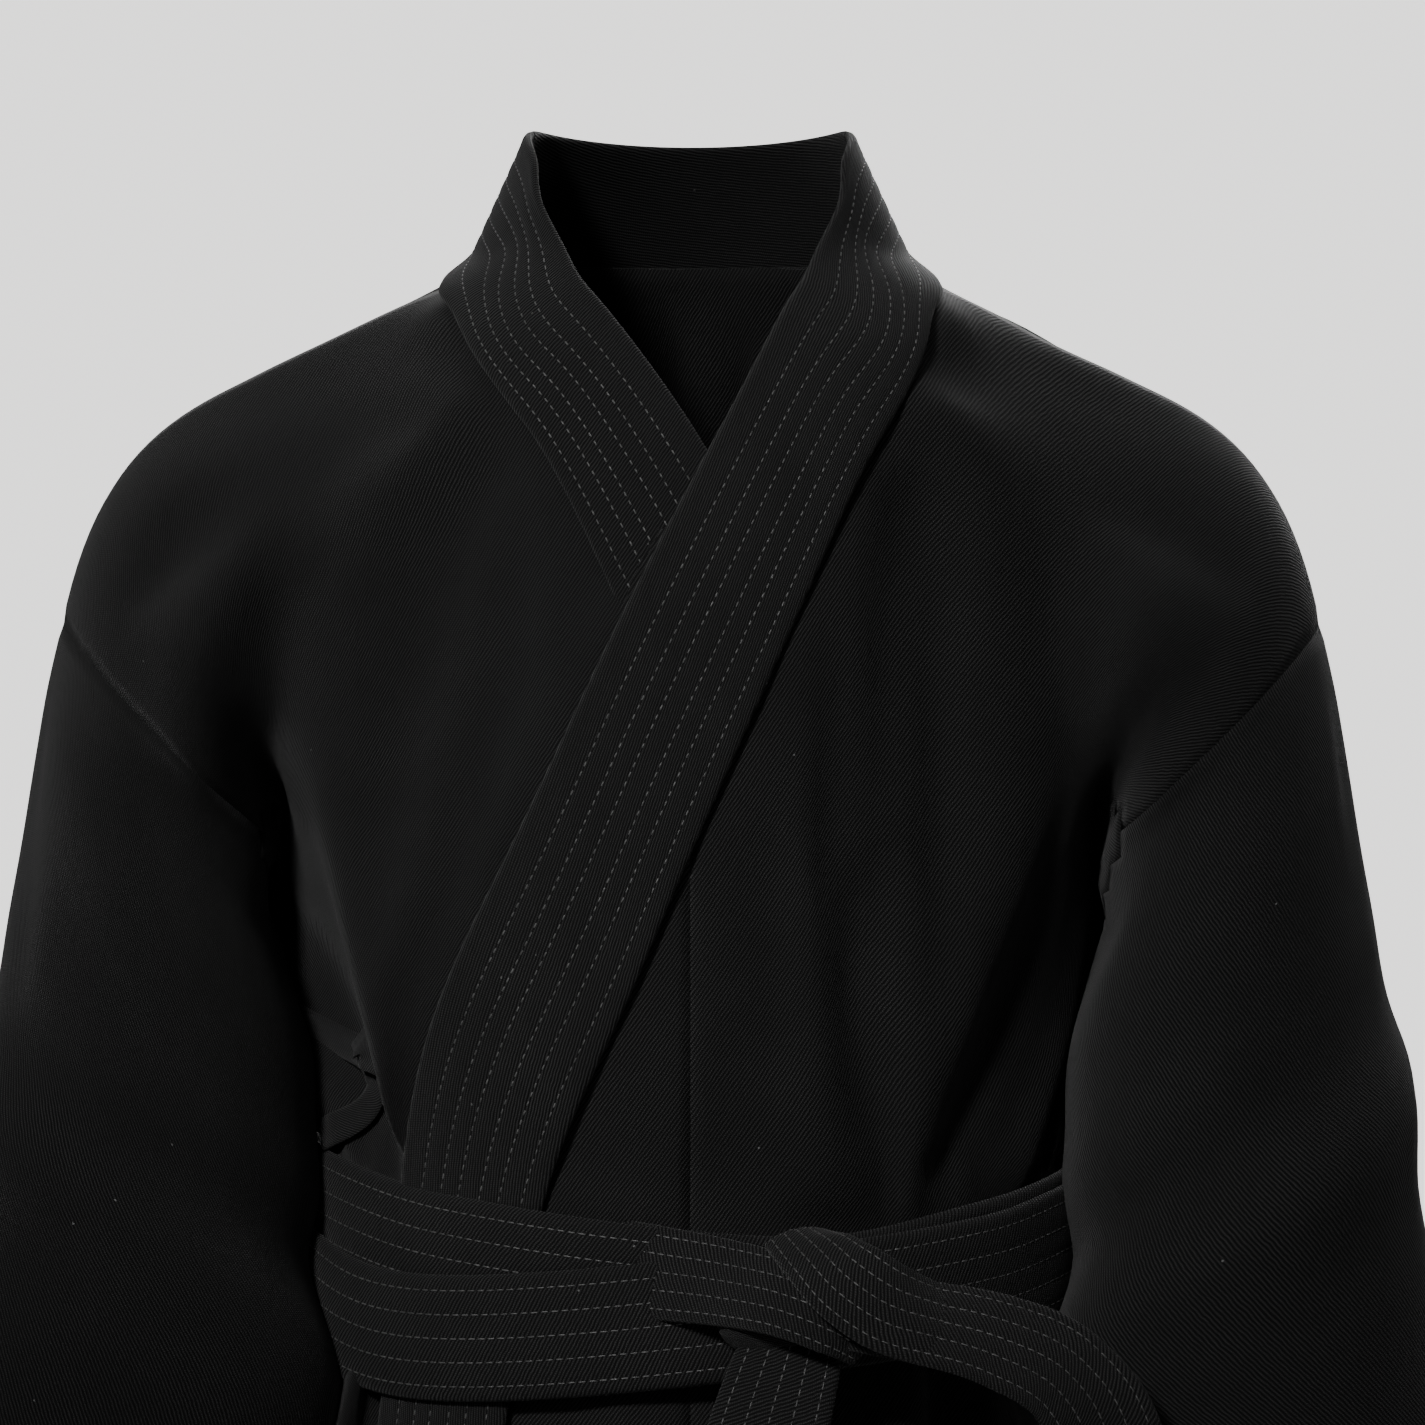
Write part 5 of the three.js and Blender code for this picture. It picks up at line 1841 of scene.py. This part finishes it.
@dataclass
class Studio:
    """The floor, soft lights and camera.

    Attributes:
        centre: Middle of the camera's view on the front of the uniform.
        field: Width of that view.
        distance: Distance from the camera to the front of the uniform.
    """

    materials: Materials
    centre: tuple[float, float, float] = (0.0070, -0.100, -0.1477)
    field: float = 0.4453
    distance: float = 2.2
    sensor: float = 36.0

    def build(self, floor_z: float) -> None:
        """Sets up the studio.

        Args:
            floor_z: Height of the floor.
        """
        sheet = Sheet()
        corners = np.array([[[-4, -4, floor_z], [4, -4, floor_z]], [[-4, 4, floor_z], [4, 4, floor_z]]], float)
        sheet.grid(corners, corners[..., :2])
        floor = sheet.make("floor", self.materials.floor())
        floor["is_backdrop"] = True
        self._key((-0.85, -1.9, 0.95), (-0.030, -0.1, -0.15), 12.8, 1200.0)
        self._light("fill", (0.6, -2.2, 0.7), 1.5, 3.5)
        self._light("back", (0.4, 2.2, 0.9), 1.4, 110.0)
        self._light("top", (0.0, 1.2, 3.0), 2.6, 90.0)
        self._light("rim_left", (-1.6, 1.0, 1.2), 1.0, 9.0)
        self._light("rim_right", (1.7, 1.0, 1.2), 1.0, 6.0)
        world = bpy.data.worlds.new("studio")
        world.use_nodes = True
        tree = world.node_tree
        soft = tree.nodes["Background"]
        soft.inputs["Color"].default_value = (0.97, 0.985, 1.0, 1)
        soft.inputs["Strength"].default_value = 0.07
        seen = tree.nodes.new("ShaderNodeBackground")
        seen.inputs["Color"].default_value = (0.80, 0.79, 0.78, 1)
        seen.inputs["Strength"].default_value = 2.3
        path, mix = tree.nodes.new("ShaderNodeLightPath"), tree.nodes.new("ShaderNodeMixShader")
        tree.links.new(path.outputs["Is Camera Ray"], mix.inputs[0])
        tree.links.new(soft.outputs[0], mix.inputs[1])
        tree.links.new(seen.outputs[0], mix.inputs[2])
        tree.links.new(mix.outputs[0], tree.nodes["World Output"].inputs["Surface"])
        bpy.context.scene.world = world
        self._camera()

    @staticmethod
    def _key(place: tuple[float, float, float], target: tuple[float, float, float], cone: float, power: float) -> None:
        """Adds the main lamp, brightest on the chest and fading out over the sleeves.

        Args:
            place: Where it stands.
            target: What it is aimed at.
            cone: Width of its beam in degrees.
            power: Power in watts.
        """
        data = bpy.data.lights.new("key", "SPOT")
        data.energy, data.shadow_soft_size = power, 0.30
        data.spot_size, data.spot_blend = math.radians(cone), 1.0
        lamp = bpy.data.objects.new("key", data)
        lamp.location = place
        lamp.rotation_euler = (Vector(target) - Vector(place)).to_track_quat("-Z", "Y").to_euler()
        bpy.context.scene.collection.objects.link(lamp)

    def _light(self, name: str, place: tuple[float, float, float], size: float, power: float) -> None:
        """Adds a soft square light aimed at the middle of the view.

        Args:
            name: Its name.
            place: Where it stands.
            size: Width of its face.
            power: Power in watts.
        """
        data = bpy.data.lights.new(name, "AREA")
        data.size, data.energy = size, power
        lamp = bpy.data.objects.new(name, data)
        lamp.location = place
        aim = Vector(self.centre) - Vector(place)
        lamp.rotation_euler = aim.to_track_quat("-Z", "Y").to_euler()
        bpy.context.scene.collection.objects.link(lamp)

    def _camera(self) -> None:
        """Adds the camera, level with the chest and square to the front."""
        data = bpy.data.cameras.new("camera")
        data.sensor_width = self.sensor
        data.lens = self.sensor * self.distance / self.field
        camera = bpy.data.objects.new("camera", data)
        camera.location = (self.centre[0], self.centre[1] - self.distance, self.centre[2])
        camera.rotation_euler = (math.radians(90), 0, 0)
        bpy.context.scene.collection.objects.link(camera)
        bpy.context.scene.camera = camera


def main() -> None:
    """Builds the uniform around its CAD frame."""
    logging.basicConfig(level=logging.INFO, format="%(name)s: %(message)s")
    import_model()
    cad_low, cad_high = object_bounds()
    materials = Materials()
    jacket = Jacket(JacketCloth(JacketSizes()), materials)
    InnerLayers(jacket, materials).build()
    Bands(materials).build()
    Belt(materials).build()
    Ties(jacket, materials).build()
    Trousers(materials).build()
    Studio(materials).build(float(cad_low[2]) - 0.004)


if __name__ == "__main__":
    main()
